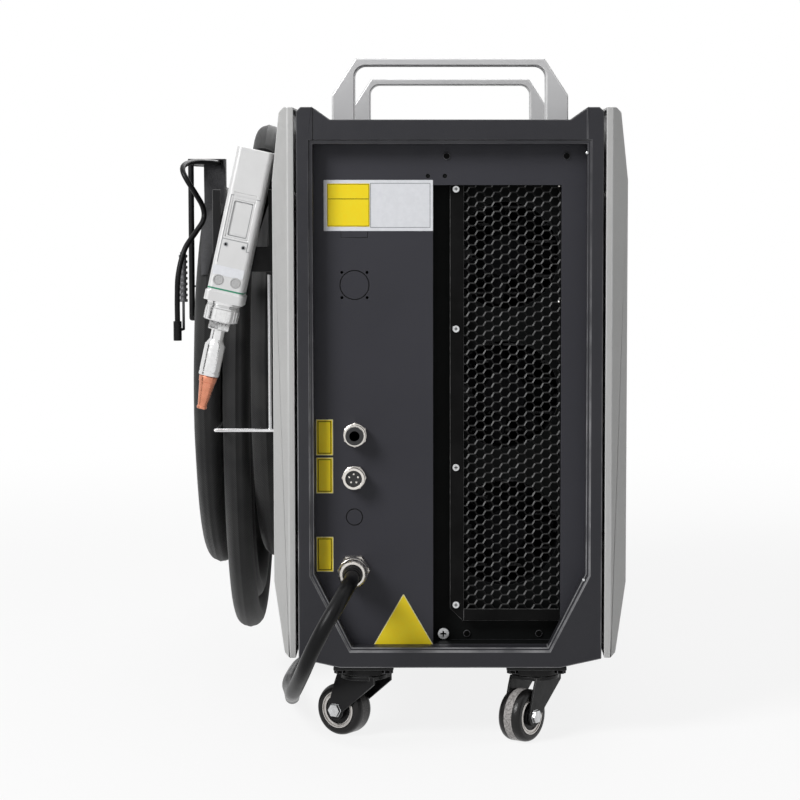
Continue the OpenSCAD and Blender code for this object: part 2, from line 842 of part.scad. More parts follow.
module front_panel() {
    y0 = front_face_y - sheet_t;
    color("#33343a") placed() difference() {
        slab_y(y0, front_face_y) open_outline(panel_lap - fit);
        at_panel(stop_at) rod_y(y0 - cut, front_face_y + cut, stop_barrel_r + fit);
        at_panel(key_at) rod_y(y0 - cut, front_face_y + cut, key_barrel_r + fit);
        at_panel(hose_at) rod_y(y0 - cut, front_face_y + cut, hose_thread_r + fit);
        at_panel(screen_at)
            block([-screen_w / 2 + bezel_border, y0 - cut, -screen_h / 2 + bezel_border],
                [screen_w / 2 - bezel_border, front_face_y + cut, screen_h / 2 - bezel_border]);
        for (i = [0 : slot_count - 1])
            translate([0, 0, slot_z + i * slot_pitch])
                block([-slot_w / 2, y0 - cut, 0], [slot_w / 2, front_face_y + cut, slot_h]);
    }
}

module screen_bezel() {
    color("#1c1c1f") placed() at_panel(screen_at) difference() {
        slab_y(front_face_y, front_face_y + bezel_t) round_rect(screen_w, screen_h, bezel_t);
        block([-screen_w / 2 + bezel_border, front_face_y - cut, -screen_h / 2 + bezel_border],
            [screen_w / 2 - bezel_border, front_face_y + bezel_t + cut,
            screen_h / 2 - bezel_border]);
    }
}

module touch_screen() {
    w = screen_w - 2 * bezel_border;
    h = screen_h - 2 * bezel_border;
    color("#101820") placed() at_panel(screen_at) translate([0, front_face_y - sheet_t, 0])
        block([-w / 2 + fit / 2, 0, -h / 2 + fit / 2],
            [w / 2 - fit / 2, sheet_t + bezel_t / 2, h / 2 - fit / 2]);
}

module stop_collar() {
    color("#e3c21c") placed() at_panel(stop_at) difference() {
        union() {
            rod_y(front_face_y - control_depth, front_face_y, stop_barrel_r);
            rod_y(front_face_y, front_face_y + stop_flange_t, stop_flange_r);
        }
        rod_y(front_face_y - control_depth - cut, front_face_y + stop_flange_t + cut,
            stop_stem_r + run_fit);
    }
}

module stop_button() {
    color("#b3161b") placed() at_panel(stop_at) {
        rod_y(front_face_y - control_depth + stop_travel + fit, part_end_y - stop_knob_t + cut,
            stop_stem_r);
        intersection() {
            rod_y(part_end_y - stop_knob_t, part_end_y, stop_d / 2);
            translate([0, part_end_y - stop_d, 0]) sphere(r = stop_d, $fn = 2 * round_fn);
        }
    }
}

module key_switch() {
    color("#8d8d8f") placed() at_panel(key_at) difference() {
        union() {
            rod_y(front_face_y - control_depth, front_face_y, key_barrel_r);
            rod_y(front_face_y, front_face_y + key_bezel_t, key_bezel_r);
        }
        rod_y(front_face_y - key_shank_l + key_bezel_t, front_face_y + key_bezel_t + cut,
            key_plug_r + run_fit);
    }
}

module key() {
    y0 = front_face_y + key_bezel_t + key_bow_gap;
    color("#c8c8c6") placed() at_panel(key_at) {
        rod_y(front_face_y - key_shank_l + key_bezel_t + fit, y0 + key_bow_r / 2, key_plug_r);
        difference() {
            translate([-key_bow_t / 2, y0 + key_bow_r, 0]) rotate([0, 90, 0])
                cylinder(h = key_bow_t, r = key_bow_r, $fn = round_fn);
            translate([-key_bow_t, y0 + 2 * key_bow_r - 2 * key_eye_r, 0]) rotate([0, 90, 0])
                cylinder(h = 2 * key_bow_t, r = key_eye_r, $fn = small_fn);
        }
    }
}

// Inside: laser module on its heat sink, power supply and control board

sink_x = 10;
sink_base_t = 8;
sink_fin_t = 2;
sink_fin_pitch = 14;
sink_fin_l = 78;
sink_y0 = 80;
sink_end = 125;
sink_l = cabinet_l - sink_y0 - sink_end;
sink_drop = 49.7;
sink_top = cover_z - sink_drop;
laser_t = 45;
laser_end = 50;
laser_rise = 89.4;
laser_bottom = base_z + laser_rise;
laser_top = sink_top - laser_end;
board_y0 = 130;
board_l = 180;
board_h = 110;
board_t = 2;
board_drop = 59.7;
board_bottom = cover_z - board_drop - board_h;
supply_w = 44;
supply_y0 = 120;
supply_l = 240;
supply_rise = 39.4;
supply_gap = 30;
supply_bottom = base_z + supply_rise;
supply_h = board_bottom - supply_gap - supply_bottom;
standoff_l = 10;
standoff_r = 3;
wall_x = -body_x + sheet_t;

module heat_sink() {
    fins = floor((sink_top - base_z - sheet_t - sink_fin_t) / sink_fin_pitch);
    color("#b5b7b9") placed() {
        block([sink_x, sink_y0, base_z + sheet_t], [sink_x + sink_base_t, sink_y0 + sink_l, sink_top]);
        for (i = [1 : fins])
            block([sink_x + sink_base_t, sink_y0, base_z + i * sink_fin_pitch],
                [sink_x + sink_base_t + sink_fin_l, sink_y0 + sink_l,
                base_z + i * sink_fin_pitch + sink_fin_t]);
    }
}

module laser_module() {
    rib = 4;
    color("#8f9296") placed() {
        block([sink_x - laser_t, sink_y0 + laser_end, laser_bottom],
            [sink_x, sink_y0 + sink_l - laser_end, laser_top]);
        for (z = [laser_bottom + laser_end : 2 * laser_end : laser_top - laser_end])
            block([sink_x - laser_t - rib, sink_y0 + 2 * laser_end, z],
                [sink_x - laser_t, sink_y0 + sink_l - 2 * laser_end, z + rib]);
    }
}

module power_supply() {
    color("#aab0b4") placed() difference() {
        block([wall_x, supply_y0, supply_bottom],
            [wall_x + supply_w, supply_y0 + supply_l, supply_bottom + supply_h]);
        block([wall_x + supply_w / 2, supply_y0 - cut, supply_bottom + supply_h - supply_w / 2],
            [wall_x + supply_w + cut, supply_y0 + supply_w / 2, supply_bottom + supply_h + cut]);
    }
}

module control_board() {
    color("#1f6b3a") placed() {
        block([wall_x + standoff_l, board_y0, board_bottom],
            [wall_x + standoff_l + board_t, board_y0 + board_l, board_bottom + board_h]);
        for (y = [board_y0 + standoff_l, board_y0 + board_l - standoff_l],
            z = [board_bottom + standoff_l, board_bottom + board_h - standoff_l])
            translate([wall_x, y, z]) rotate([0, 90, 0])
                cylinder(h = standoff_l, r = standoff_r, $fn = small_fn);
        block([wall_x + standoff_l + board_t, board_y0 + board_l / 4, board_bottom + board_h / 4],
            [wall_x + 2 * standoff_l + board_t, board_y0 + board_l / 2,
            board_bottom + board_h * 3 / 4]);
    }
}

// Gas fitting with its sliding collet, and the valve behind it

gas_hex_t = 8;
gas_hex_turn = 30;
gas_neck_t = 6;
gas_neck_r = 8.6;
gas_collet_r = 6;
gas_collet_travel = 1.5;
gas_collet_l = 9;
gas_collet_flange_r = 7.2;
gas_collet_flange_t = 1.5;
gas_bore_r = gas_tube_d / 2 + run_fit;
gas_back_l = 18;
valve_w = 26;
valve_l = 30;
gas_face_y = panel_recess - gas_hex_t - gas_neck_t;

module gas_fitting() {
    color("#c2c3c4") placed() at_panel(gas_at) {
        difference() {
            union() {
                rotate([0, gas_hex_turn, 0])
                    rod_y(panel_recess - gas_hex_t, panel_recess, gas_hex / 2, 6);
                rod_y(gas_face_y, panel_recess, gas_neck_r);
                rod_y(panel_recess, panel_recess + gas_back_l, gas_thread_r);
            }
            rod_y(gas_face_y - cut, gas_face_y + gas_collet_l + fit, gas_collet_r + run_fit);
            rod_y(gas_face_y - cut, panel_recess + gas_back_l - 2 * cut, gas_bore_r);
        }
        // Solenoid valve screwed on the fitting's thread
        block([-valve_w / 2, panel_recess + gas_back_l, -valve_w / 2],
            [valve_w / 2, panel_recess + gas_back_l + valve_l, valve_w / 2]);
    }
}

module gas_collet() {
    y0 = gas_face_y - gas_collet_travel - fit - gas_collet_flange_t;
    color("#151517") placed() at_panel(gas_at) difference() {
        union() {
            rod_y(y0, y0 + gas_collet_flange_t, gas_collet_flange_r);
            rod_y(y0, gas_face_y + gas_collet_l - gas_collet_travel - fit, gas_collet_r);
        }
        rod_y(y0 - cut, panel_recess + gas_back_l, gas_bore_r);
    }
}

// Five-pin signal socket

signal_hex_t = 6;
signal_shell_r = 8.6;
signal_shell_l = 8;
signal_cup_r = 6.5;
signal_cup_l = 9;
signal_pin_r = 0.8;
signal_pin_pitch_r = 3.6;
signal_face_y = panel_recess - signal_hex_t - signal_shell_l;

module signal_socket() {
    color("#bfc0c1") placed() at_panel(signal_at) {
        difference() {
            union() {
                rod_y(panel_recess - signal_hex_t, panel_recess, gas_hex / 2, 6);
                rod_y(signal_face_y, panel_recess, signal_shell_r);
                rod_y(panel_recess, panel_recess + gas_back_l, signal_thread_r);
            }
            rod_y(signal_face_y - cut, signal_face_y + signal_cup_l, signal_cup_r);
        }
        for (i = [0 : 4])
            rotate([0, i * 72, 0]) translate([0, 0, signal_pin_pitch_r])
                rod_y(signal_face_y + 2 * cut, signal_face_y + signal_cup_l + cut,
                    signal_pin_r, small_fn);
    }
}

// Cable glands

// Wall that a boot or a gland's tip leaves round its cord
boot_wall = 2;
gland_hex_t = 9;
gland_dome_l = 19;
gland_collar_r = 11.6;

module power_gland() {
    tip_l = panel_recess - gland_hex_t - gland_dome_l - gland_tip_y;
    color("#c6c7c8") placed() at_panel(gland_at) {
        rod_y(panel_recess - gland_hex_t, panel_recess, gland_hex / 2, 6);
        rod_y(panel_recess, panel_recess + gas_back_l, gland_thread_r);
        rod_y(gland_tip_y + tip_l, panel_recess - gland_hex_t, gland_collar_r);
        cone_y(gland_tip_y, gland_tip_y + tip_l, cable_d / 2 + boot_wall, gland_collar_r);
    }
}

hose_gland_hex = 38;
hose_gland_hex_t = 9;
hose_gland_wall = 5;
module hose_gland() {
    color("#2a2a2d") placed() at_panel(hose_at) {
        rod_y(front_face_y - gas_back_l, front_face_y, hose_thread_r);
        rod_y(front_face_y, front_face_y + hose_gland_hex_t, hose_gland_hex / 2, 6);
        cone_y(front_face_y + hose_gland_hex_t, hose_exit_y,
            hose_r + hose_gland_wall, hose_r + boot_wall);
    }
}

// Umbilical: one hose wound over the hook in three layers

hose_centre_y = 300;
hose_reach_y = 170;
hose_draw_in = 25;
hose_turns = 5.25;
hose_rings = 24;
hose_layers = [[layer_d_x, 266.7, 170], [layer_a_x, 256, 208], [layer_c_x, 294.6, 156]];
// A layer's change sideways comes first, and its change of shape after it, in turns
step_over = [1.75, 4];
reshape = [1.85, 4];
change_turns = 0.25;
function ease(t) = t <= 0 ? 0 : t >= 1 ? 1 : t * t * (3 - 2 * t);
function layer_mix(u, k) =
    let (from = k == 0 ? step_over : reshape)
    hose_layers[0][k]
    + (hose_layers[1][k] - hose_layers[0][k]) * ease((u - from[0]) / change_turns)
    + (hose_layers[2][k] - hose_layers[1][k]) * ease((u - from[1]) / change_turns);
function hose_point(u) =
    let (inset = hose_draw_in * (2 - abs(u - 2)))
    [layer_mix(u, 0),
    hose_centre_y + (hose_reach_y - inset) * cos(360 * u),
    layer_mix(u, 1) + (layer_mix(u, 2) - inset) * sin(360 * u)];
hose_coil_path = concat(
    [hose_point(0) - [0, 0, hose_d]],
    [for (i = [0 : hose_turns * hose_rings]) hose_point(i / hose_rings)],
    [hose_point(hose_turns) - [0, hose_d, 0]]);
echo(umbilical_least_gap = least_gap(hose_coil_path, hose_r, 10));

module umbilical_coil() {
    color("#232326") placed() tube(hose_coil_path, hose_r, 6);
}

// Gun, standing in its holder with its tip down

gun_side_gap = 27.1;
gun_at = [-side_x - gun_side_gap, 411];
gun_front_y = 20;
gun_back_y = gun_front_y + gun_d;
gun_mid_y = gun_front_y + gun_d / 2;
gun_edge_r = 4;
gun_flange_h = 8;
gun_flange_out = 1.2;
gun_window_w = 18;
gun_window_h = 36;
gun_window_d = 1.2;
ring_nut_r = 14;
ring_nut_h = 16;
collar_h = 7;
collar_r = 9.5;
tube_r = 5.5;
tube_h = 8;
barrel_r = 8.3;
barrel_h = 30;
nozzle_l = 27;
nozzle_top_r = 7.8;
nozzle_tip_r = 4.2;
nozzle_bore_r = 1.2;
grip_w = 28;
grip_h = 31;
grip_corner = 10;
grip_l = 72;
boot_l = 23;
boot_r = 14;
trigger_w = 8;
trigger_l = 24;
trigger_h = 7;
trigger_slot_d = 7;
trigger_pin_r = 1.5;
trigger_pin_in = 2.5;
trigger_pin_end = 1;
trigger_end_gap = 1.5;
trigger_at = 24;

// The gun's own frame: Z runs up the gun
module gun_frame() {
    placed() translate([gun_at[0], 0, gun_at[1]]) rotate([0, gun_tilt, 0]) children();
}

// The grip's own frame: Z runs along the grip, +Y is its lower side
module grip_frame() {
    gun_frame() translate([0, gun_back_y, 0]) rotate([grip_rise - 90, 0, 0]) children();
}

module gun_body() {
    top = gun_h / 2;
    color("#cfd0cf") gun_frame() difference() {
        union() {
            translate([0, gun_mid_y, -top]) linear_extrude(height = gun_h)
                round_rect(gun_w, gun_d, gun_edge_r);
            translate([0, gun_mid_y, -top]) linear_extrude(height = gun_flange_h)
                round_rect(gun_w + 2 * gun_flange_out, gun_d + 2 * gun_flange_out, gun_edge_r);
        }
        translate([0, gun_front_y, 0])
            block([-gun_window_w / 2, -cut, gun_flange_h - gun_window_h / 2],
                [gun_window_w / 2, gun_window_d, gun_flange_h + gun_window_h / 2]);
    }
}

module gun_tube() {
    low = -gun_h / 2;
    color("#c9cacb") gun_frame() translate([0, gun_mid_y, low]) {
        translate([0, 0, -ring_nut_h]) cylinder(h = ring_nut_h, r = ring_nut_r, $fn = round_fn);
        translate([0, 0, -ring_nut_h - collar_h]) cylinder(h = collar_h, r = collar_r, $fn = 6);
        translate([0, 0, -ring_nut_h - collar_h - tube_h])
            cylinder(h = tube_h, r = tube_r, $fn = round_fn);
        translate([0, 0, -ring_nut_h - collar_h - tube_h - barrel_h])
            cylinder(h = barrel_h, r = barrel_r, $fn = round_fn);
    }
}

module gun_nozzle() {
    low = -gun_h / 2 - ring_nut_h - collar_h - tube_h - barrel_h - nozzle_l;
    color("#b8653a") gun_frame() translate([0, gun_mid_y, low]) difference() {
        cylinder(h = nozzle_l, r1 = nozzle_tip_r, r2 = nozzle_top_r, $fn = round_fn);
        translate([0, 0, -cut]) cylinder(h = nozzle_l, r = nozzle_bore_r, $fn = small_fn);
    }
}

module gun_grip() {
    low = grip_h / 2;
    color("#1f1f22") grip_frame() {
        difference() {
            union() {
                linear_extrude(height = grip_l) round_rect(grip_w, grip_h, grip_corner);
                translate([0, 0, grip_l])
                    cylinder(h = boot_l, r1 = boot_r, r2 = hose_r + boot_wall, $fn = round_fn);
            }
            // The grip is cut flush with the gun's back
            rotate([90 - grip_rise, 0, 0])
                block([-gun_d, -gun_d, -gun_h / 2], [gun_d, 0, gun_h / 2]);
            block([-trigger_w / 2 - fit, low - trigger_slot_d, trigger_at - trigger_end_gap],
                [trigger_w / 2 + fit, low + cut, trigger_at + trigger_l + fit]);
        }
        translate([-trigger_w / 2 - trigger_pin_end, low - trigger_pin_in,
            trigger_at + trigger_l - trigger_h / 2])
            rotate([0, 90, 0])
                cylinder(h = trigger_w + 2 * trigger_pin_end, r = trigger_pin_r, $fn = small_fn);
    }
}

module gun_trigger() {
    low = grip_h / 2;
    pin_y = low - trigger_pin_in;
    pin_z = trigger_at + trigger_l - trigger_h / 2;
    color("#b3161b") grip_frame() difference() {
        union() {
            translate([-trigger_w / 2, pin_y, pin_z]) rotate([0, 90, 0])
                cylinder(h = trigger_w, r = trigger_h / 2 - fit, $fn = small_fn);
            block([-trigger_w / 2, pin_y, trigger_at],
                [trigger_w / 2, low + trigger_h / 2, pin_z]);
        }
        translate([-trigger_w, pin_y, pin_z]) rotate([0, 90, 0])
            cylinder(h = 2 * trigger_w, r = trigger_pin_r + run_fit, $fn = small_fn);
    }
}

// Hook, keeper and gun holder on the left side panel

hook_near_y = 200;
hook_far_y = 396;
hook_near_z = 329;
hook_far_z = 313.5;
hook_top_z = 462;
hook_plate_t = 3;
hook_plate_h = 34;
hook_plate_over = 16;

module hose_hook() {
    color("#1b1b1e") placed() {
        wire([[-side_x - hook_plate_t / 2, hook_near_y, hook_near_z],
            [hook_x, hook_near_y, hook_near_z], [hook_x, hook_near_y, hook_top_z],
            [hook_x, hook_far_y, hook_top_z], [hook_x, hook_far_y, hook_far_z],
            [-side_x - hook_plate_t / 2, hook_far_y, hook_far_z]], hook_rod_d / 2);
        block([-side_x - hook_plate_t, hook_near_y - hook_plate_over,
                hook_far_z - hook_plate_h / 2],
            [-side_x, hook_far_y + hook_plate_over, hook_far_z + hook_plate_h / 2]);
    }
}

keeper_z = 241;
keeper_near_y = 100;
keeper_far_y = 183;
keeper_x = (layer_d_x + layer_a_x) / 2;
keeper_riser_gap = 7.4;
keeper_riser_x = -side_x - keeper_riser_gap - keeper_d / 2;
keeper_plate_w = 12;

module hose_keeper() {
    color("#c9cacb") placed() {
        wire([[-side_x - hook_plate_t / 2, keeper_near_y, keeper_z],
            [keeper_x, keeper_near_y, keeper_z], [keeper_x, keeper_far_y, keeper_z],
            [-side_x - hook_plate_t / 2, keeper_far_y, keeper_z]], keeper_d / 2);
        wire([[keeper_riser_x, keeper_near_y, keeper_z],
            [keeper_riser_x, keeper_near_y, holder_bottom_z - holder_lip_l]], keeper_d / 2);
        for (y = [keeper_near_y, keeper_far_y])
            block([-side_x - hook_plate_t, y - keeper_plate_w / 2, keeper_z - keeper_plate_w],
                [-side_x, y + keeper_plate_w / 2, keeper_z + keeper_plate_w]);
    }
}

holder_t = 2.5;
holder_y = gun_back_y + 7;
holder_bottom_z = 376;
holder_top_z = 440;
holder_w = 51.9;
holder_left_x = -side_x - holder_w;
holder_flange_l = 40;
holder_lip_l = 6;
holder_fit = 1.5;
holder_notch_z = 394;
holder_notch_shift = 1.2;
notch_half = grip_w / 2 * cos(gun_tilt) + grip_h / 2 / cos(grip_rise) * sin(gun_tilt)
    + holder_fit;

module gun_holder() {
    color("#1d1d20") placed() {
        difference() {
            block([holder_left_x, holder_y, holder_bottom_z],
                [-side_x, holder_y + holder_t, holder_top_z]);
            // Notch for the leaning grip, open at the top
            translate([gun_at[0] + holder_notch_shift, 0, 0])
                block([-notch_half, holder_y - cut, holder_notch_z],
                    [notch_half, holder_y + holder_t + cut, holder_top_z + cut]);
        }
        // Lower lip, folded back, with the keeper's riser under it
        block([holder_left_x, holder_y, holder_bottom_z - holder_t],
            [-side_x, keeper_near_y + keeper_d, holder_bottom_z]);
        // Flange against the side panel
        block([-side_x - holder_t, holder_y, holder_bottom_z],
            [-side_x, holder_y + holder_flange_l, holder_top_z]);
    }
}

// Leads of the umbilical: along the floor side of the cabinet, and over to the gun

hose_front_route = [
    [-10, 660, 110], [-10, 675, 110], [-10, 692, 109], [-23, 741, 102], [-59, 777, 91],
    [-109, 790, 80], [-159, 777, 76], [-195, 741, 77], [-208, 692, 84], [-208, 640, 98],
    [-208, 590, 109], [-208, 570, 112], [-208, 532, 120], [-208, 499, 141],
    [-208, 478, 174], [-208, 470, 212], [-208, 470, 228], [-208, 470, 243.7]];
gun_lead_route = [
    [-155, 277, 482], [-155, 262, 482], [-155, 245, 482.4], [-155, 220, 483],
    [-155, 195, 483.3], [-154.6, 179.5, 482.4], [-154.4, 167, 479.7],
    [-154.4, 155, 475.1], [-154.5, 142.3, 468.5], [-155.1, 138.2, 465.7],
    [-155.7, 134.1, 463]];
hose_lead_steps = 3;

module umbilical_leads() {
    color("#232326") placed() {
        tube(smooth(hose_front_route, hose_lead_steps), hose_r, 8);
        tube(smooth(gun_lead_route, hose_lead_steps), hose_r, 8);
    }
}

// Power cable: from its gland down to the floor, then coiled under the machine

cable_r = cable_d / 2;
cable_route = [
    [-76.9, -26, 137], [-77, -40, 137], [-79, -58, 135], [-86, -74, 124], [-96, -81, 107],
    [-106, -76, 87], [-114, -60, 68], [-121, -30, 51], [-126, 10, 38], [-129, 55, 27],
    [-132, 100, 17], [-136, 150, 11], [-141, 200, 8], [-141, 250, 6.2], [-137, 300, 6.2],
    [-125, 350, 6.2], [-111, 400, 6.4], [-104, 435, 7.4], [-103.3, 456, 7.5],
    [-103.3, 468, 7.5]];
cable_steps = 3;
coil_centre = [-20, 480];
coil_turns = 5.5;
coil_mid_r = 66;
coil_pitch = 12.6;
coil_low_z = 7.5;
coil_rings = 24;
plug_lead_l = 70;
function coil_r(u) = coil_mid_r + coil_pitch * (abs(u - coil_turns / 2) - coil_turns / 4);
function coil_point(u) = [
    coil_centre[0] + coil_r(u) * cos(180 - 360 * u),
    coil_centre[1] + coil_r(u) * sin(180 - 360 * u),
    coil_low_z + coil_pitch * ease((u - coil_turns / 2) * 2 + 0.5)];
coil_end = coil_point(coil_turns);
coil_path = concat(
    [coil_point(0) - [0, cable_d, 0]],
    [for (i = [0 : coil_turns * coil_rings]) coil_point(i / coil_rings)],
    [coil_end - [0, cable_d, 0], coil_end - [0, plug_lead_l, 0]]);
echo(power_coil_least_gap = least_gap(coil_path, cable_r, 10));

module power_cable() {
    color("#19191b") placed() tube(smooth(cable_route, cable_steps), cable_r, 8);
}

module power_coil() {
    color("#19191b") placed() tube(coil_path, cable_r, 6);
}

// Compact three-pin plug
plug_r = coil_end[2] - fit;
plug_l = 62;
plug_neck_l = 20;
plug_shoulder = 4;
plug_pin_r = 2.4;
plug_pin_l = 20;
plug_pin_pitch_r = 8;

module power_plug() {
    color("#2d4f8c") placed() translate(coil_end - [0, plug_lead_l, 0]) {
        cone_y(-plug_neck_l, 0, plug_r - plug_shoulder, cable_r + boot_wall);
        rod_y(-plug_neck_l - plug_l, -plug_neck_l, plug_r);
        for (i = [0 : 2])
            rotate([0, i * 120, 0]) translate([0, 0, plug_pin_pitch_r])
                rod_y(-plug_neck_l - plug_l - plug_pin_l, -plug_neck_l - plug_l,
                    plug_pin_r, small_fn);
    }
}

// Ties: round the power cable's coil, and round the hose at its hook

tie_w = 16;
tie_t = 1.2;
tie_y = 214;
strap_low_z = 356;

// A flat strap round a box, running along Y for its width
module strap(low, high, t) {
    difference() {
        block(low - [t, 0, t], high + [t, 0, t]);
        block(low - [0, cut, 0], high + [0, cut, 0]);
    }
}

module cord_ties() {
    inner_r = coil_r(coil_turns / 2) - cable_r - tie_t;
    outer_r = coil_r(0) + cable_r + fit;
    color("#111113") placed() {
        translate([coil_centre[0], coil_centre[1], 0]) rotate([0, 0, 35])
            translate([0, -tie_w / 2, 0])
                strap([inner_r, 0, coil_low_z - cable_r - fit / 2],
                    [outer_r, tie_w, coil_low_z + coil_pitch + cable_r + fit], tie_t);
        strap([hook_x - hook_rod_d / 2 - fit, tie_y, strap_low_z],
            [layer_d_x + hose_r + fit, tie_y + tie_w, hook_top_z + hook_rod_d / 2 + fit], tie_t);
    }
}

// Earth lead: held under the strap, looped, and ended with its ferrule and spring clip

earth_d = 4.5;
earth_route = [
    [-201.5, 224, 462.6], [-201.5, 210, 462.6], [-206, 182, 463.2], [-215, 146, 463],
    [-220.4, 121, 460], [-220.6, 110, 455], [-216.5, 106, 447], [-210, 110, 436],
    [-204.8, 116, 425], [-204.4, 115, 415], [-209.5, 104, 405], [-218, 95, 391],
    [-223, 91, 371], [-224, 90, 352], [-224, 90, 332]];
earth_steps = 3;
clip_r = 3.6;
clip_ribs = 9;
clip_rib_h = 1;
clip_rib_pitch = 4.6;
clip_top_z = 388;
clip_x = hook_x + earth_d / 4;
clip_y = 118;
ferrule_r = 3.4;
ferrule_l = 16;

module earth_lead() {
    color("#19191b") placed() tube(smooth(earth_route, earth_steps), earth_d / 2, 8);
}

module earth_clip() {
    end = earth_route[len(earth_route) - 1];
    clip_low = clip_top_z - clip_ribs * clip_rib_pitch;
    color("#7d7e80") placed() {
        translate(end - [0, 0, ferrule_l]) cylinder(h = ferrule_l, r = ferrule_r, $fn = small_fn);
        translate([clip_x, clip_y, clip_low])
            cylinder(h = clip_top_z - clip_low, r = clip_r - clip_rib_h, $fn = small_fn);
        for (i = [0 : clip_ribs - 1])
            translate([clip_x, clip_y, clip_low + i * clip_rib_pitch])
                cylinder(h = clip_rib_pitch / 2, r = clip_r, $fn = small_fn);
        wire([[clip_x, clip_y, clip_low], [clip_x, clip_y, end[2] - ferrule_l / 2],
            [end[0], end[1], end[2] - ferrule_l / 2]], earth_d / 4);
    }
}

base_pan();
rear_frame();
front_frame();
rear_panel();
fan_grille();
side_panel_left();
side_panel_right();
top_cover();
front_panel();
screen_bezel();
touch_screen();
stop_collar();
stop_button();
key_switch();
key();
handle_rear();
handle_front();
panel_screws();
caster_plates();
fork_rl();
fork_rr();
fork_fl();
fork_fr();
wheel_rl();
wheel_rr();
wheel_fl();
wheel_fr();
tyre_rl();
tyre_rr();
tyre_fl();
tyre_fr();
fan_frames();
rotor_top();
rotor_middle();
rotor_bottom();
laser_module();
heat_sink();
power_supply();
control_board();
gas_fitting();
gas_collet();
signal_socket();
power_gland();
hose_gland();
hose_hook();
hose_keeper();
gun_holder();
gun_body();
gun_grip();
gun_trigger();
gun_nozzle();
gun_tube();
power_cable();
power_coil();
power_plug();
umbilical_coil();
umbilical_leads();
cord_ties();
earth_lead();
earth_clip();
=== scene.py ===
# Looks of an air-cooled laser welding machine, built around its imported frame, in metres.
import json
import math

import bpy
from mathutils import Matrix, Vector, noise


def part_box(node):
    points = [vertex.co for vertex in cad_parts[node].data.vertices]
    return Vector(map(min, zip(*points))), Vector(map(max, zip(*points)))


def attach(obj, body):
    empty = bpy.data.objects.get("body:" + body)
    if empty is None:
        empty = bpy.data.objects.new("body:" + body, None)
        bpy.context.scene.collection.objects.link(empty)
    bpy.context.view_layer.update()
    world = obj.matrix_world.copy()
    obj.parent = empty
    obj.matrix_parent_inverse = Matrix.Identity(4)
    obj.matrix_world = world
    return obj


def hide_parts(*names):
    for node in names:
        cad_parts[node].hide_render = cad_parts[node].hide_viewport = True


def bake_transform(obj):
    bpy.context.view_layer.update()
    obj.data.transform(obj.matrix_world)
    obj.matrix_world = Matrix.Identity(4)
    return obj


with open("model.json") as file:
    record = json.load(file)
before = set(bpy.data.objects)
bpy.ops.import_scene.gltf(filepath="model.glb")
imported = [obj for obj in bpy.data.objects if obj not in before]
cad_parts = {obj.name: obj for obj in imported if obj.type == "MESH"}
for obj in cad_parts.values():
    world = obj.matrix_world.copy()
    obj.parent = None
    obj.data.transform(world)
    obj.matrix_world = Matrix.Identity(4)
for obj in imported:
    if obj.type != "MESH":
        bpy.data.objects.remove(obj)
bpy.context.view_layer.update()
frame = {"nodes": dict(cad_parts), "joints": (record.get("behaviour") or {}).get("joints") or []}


# The studio. A pale floor and backdrop, soft lamps at the left front, the right, above and
# behind, two black cards for the bright metal to mirror, and a camera two metres behind the
# machine, a little below its top and pitched down.
rear_low, rear_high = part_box("rear_frame")
cabinet_x = (rear_low.x + rear_high.x) / 2
rear_y = rear_low.y


def at(x, y, z):
    """A place measured from the middle of the cabinet's rear face, at floor level."""
    return Vector((cabinet_x + x, rear_y + y, z))


camera_pitch = math.radians(4.896)
bpy.ops.object.camera_add(location=at(0, -2.0, 0.446), rotation=(math.pi / 2 - camera_pitch, 0, 0))
camera = bpy.context.object
camera.data.lens = 114.525
camera.data.sensor_width = 36
camera.data.shift_x = -0.0625
bpy.context.scene.camera = camera
bpy.context.scene.view_settings.view_transform = "Standard"


def combined(tree, operation, first, second):
    """The larger one of two masks, or their product."""
    node = tree.nodes.new("ShaderNodeMath")
    node.operation = operation
    tree.links.new(first, node.inputs[0])
    tree.links.new(second, node.inputs[1])
    return node.outputs[0]


def seen_directly(tree):
    """Is 1 for rays from the camera, and for those that a glossy or clear surface sends on."""
    path = tree.nodes.new("ShaderNodeLightPath").outputs
    mirrored = combined(tree, "MAXIMUM", path["Is Camera Ray"], path["Is Glossy Ray"])
    return combined(tree, "MAXIMUM", mirrored, path["Is Transmission Ray"])


def shader_of(mat):
    """The shader that carries a material's plain values."""
    return mat.node_tree.nodes["Principled BSDF"]


def finish_of(name, colour, roughness, metallic=0.0, shine=0.5):
    """A new material with its plain values set."""
    mat = bpy.data.materials.new(name)
    mat.use_nodes = True
    values = shader_of(mat).inputs
    values["Base Color"].default_value = (*colour, 1)
    values["Roughness"].default_value = roughness
    values["Metallic"].default_value = metallic
    values["Specular IOR Level"].default_value = shine
    return mat


def ranged(mat, mask, low, high, start=0.35, end=0.65, curve="LINEAR"):
    """Turns a mask into values from low to high."""
    node = mat.node_tree.nodes.new("ShaderNodeMapRange")
    node.interpolation_type = curve
    for key, value in (("From Min", start), ("From Max", end), ("To Min", low), ("To Max", high)):
        node.inputs[key].default_value = value
    mat.node_tree.links.new(mask, node.inputs["Value"])
    return node.outputs["Result"]


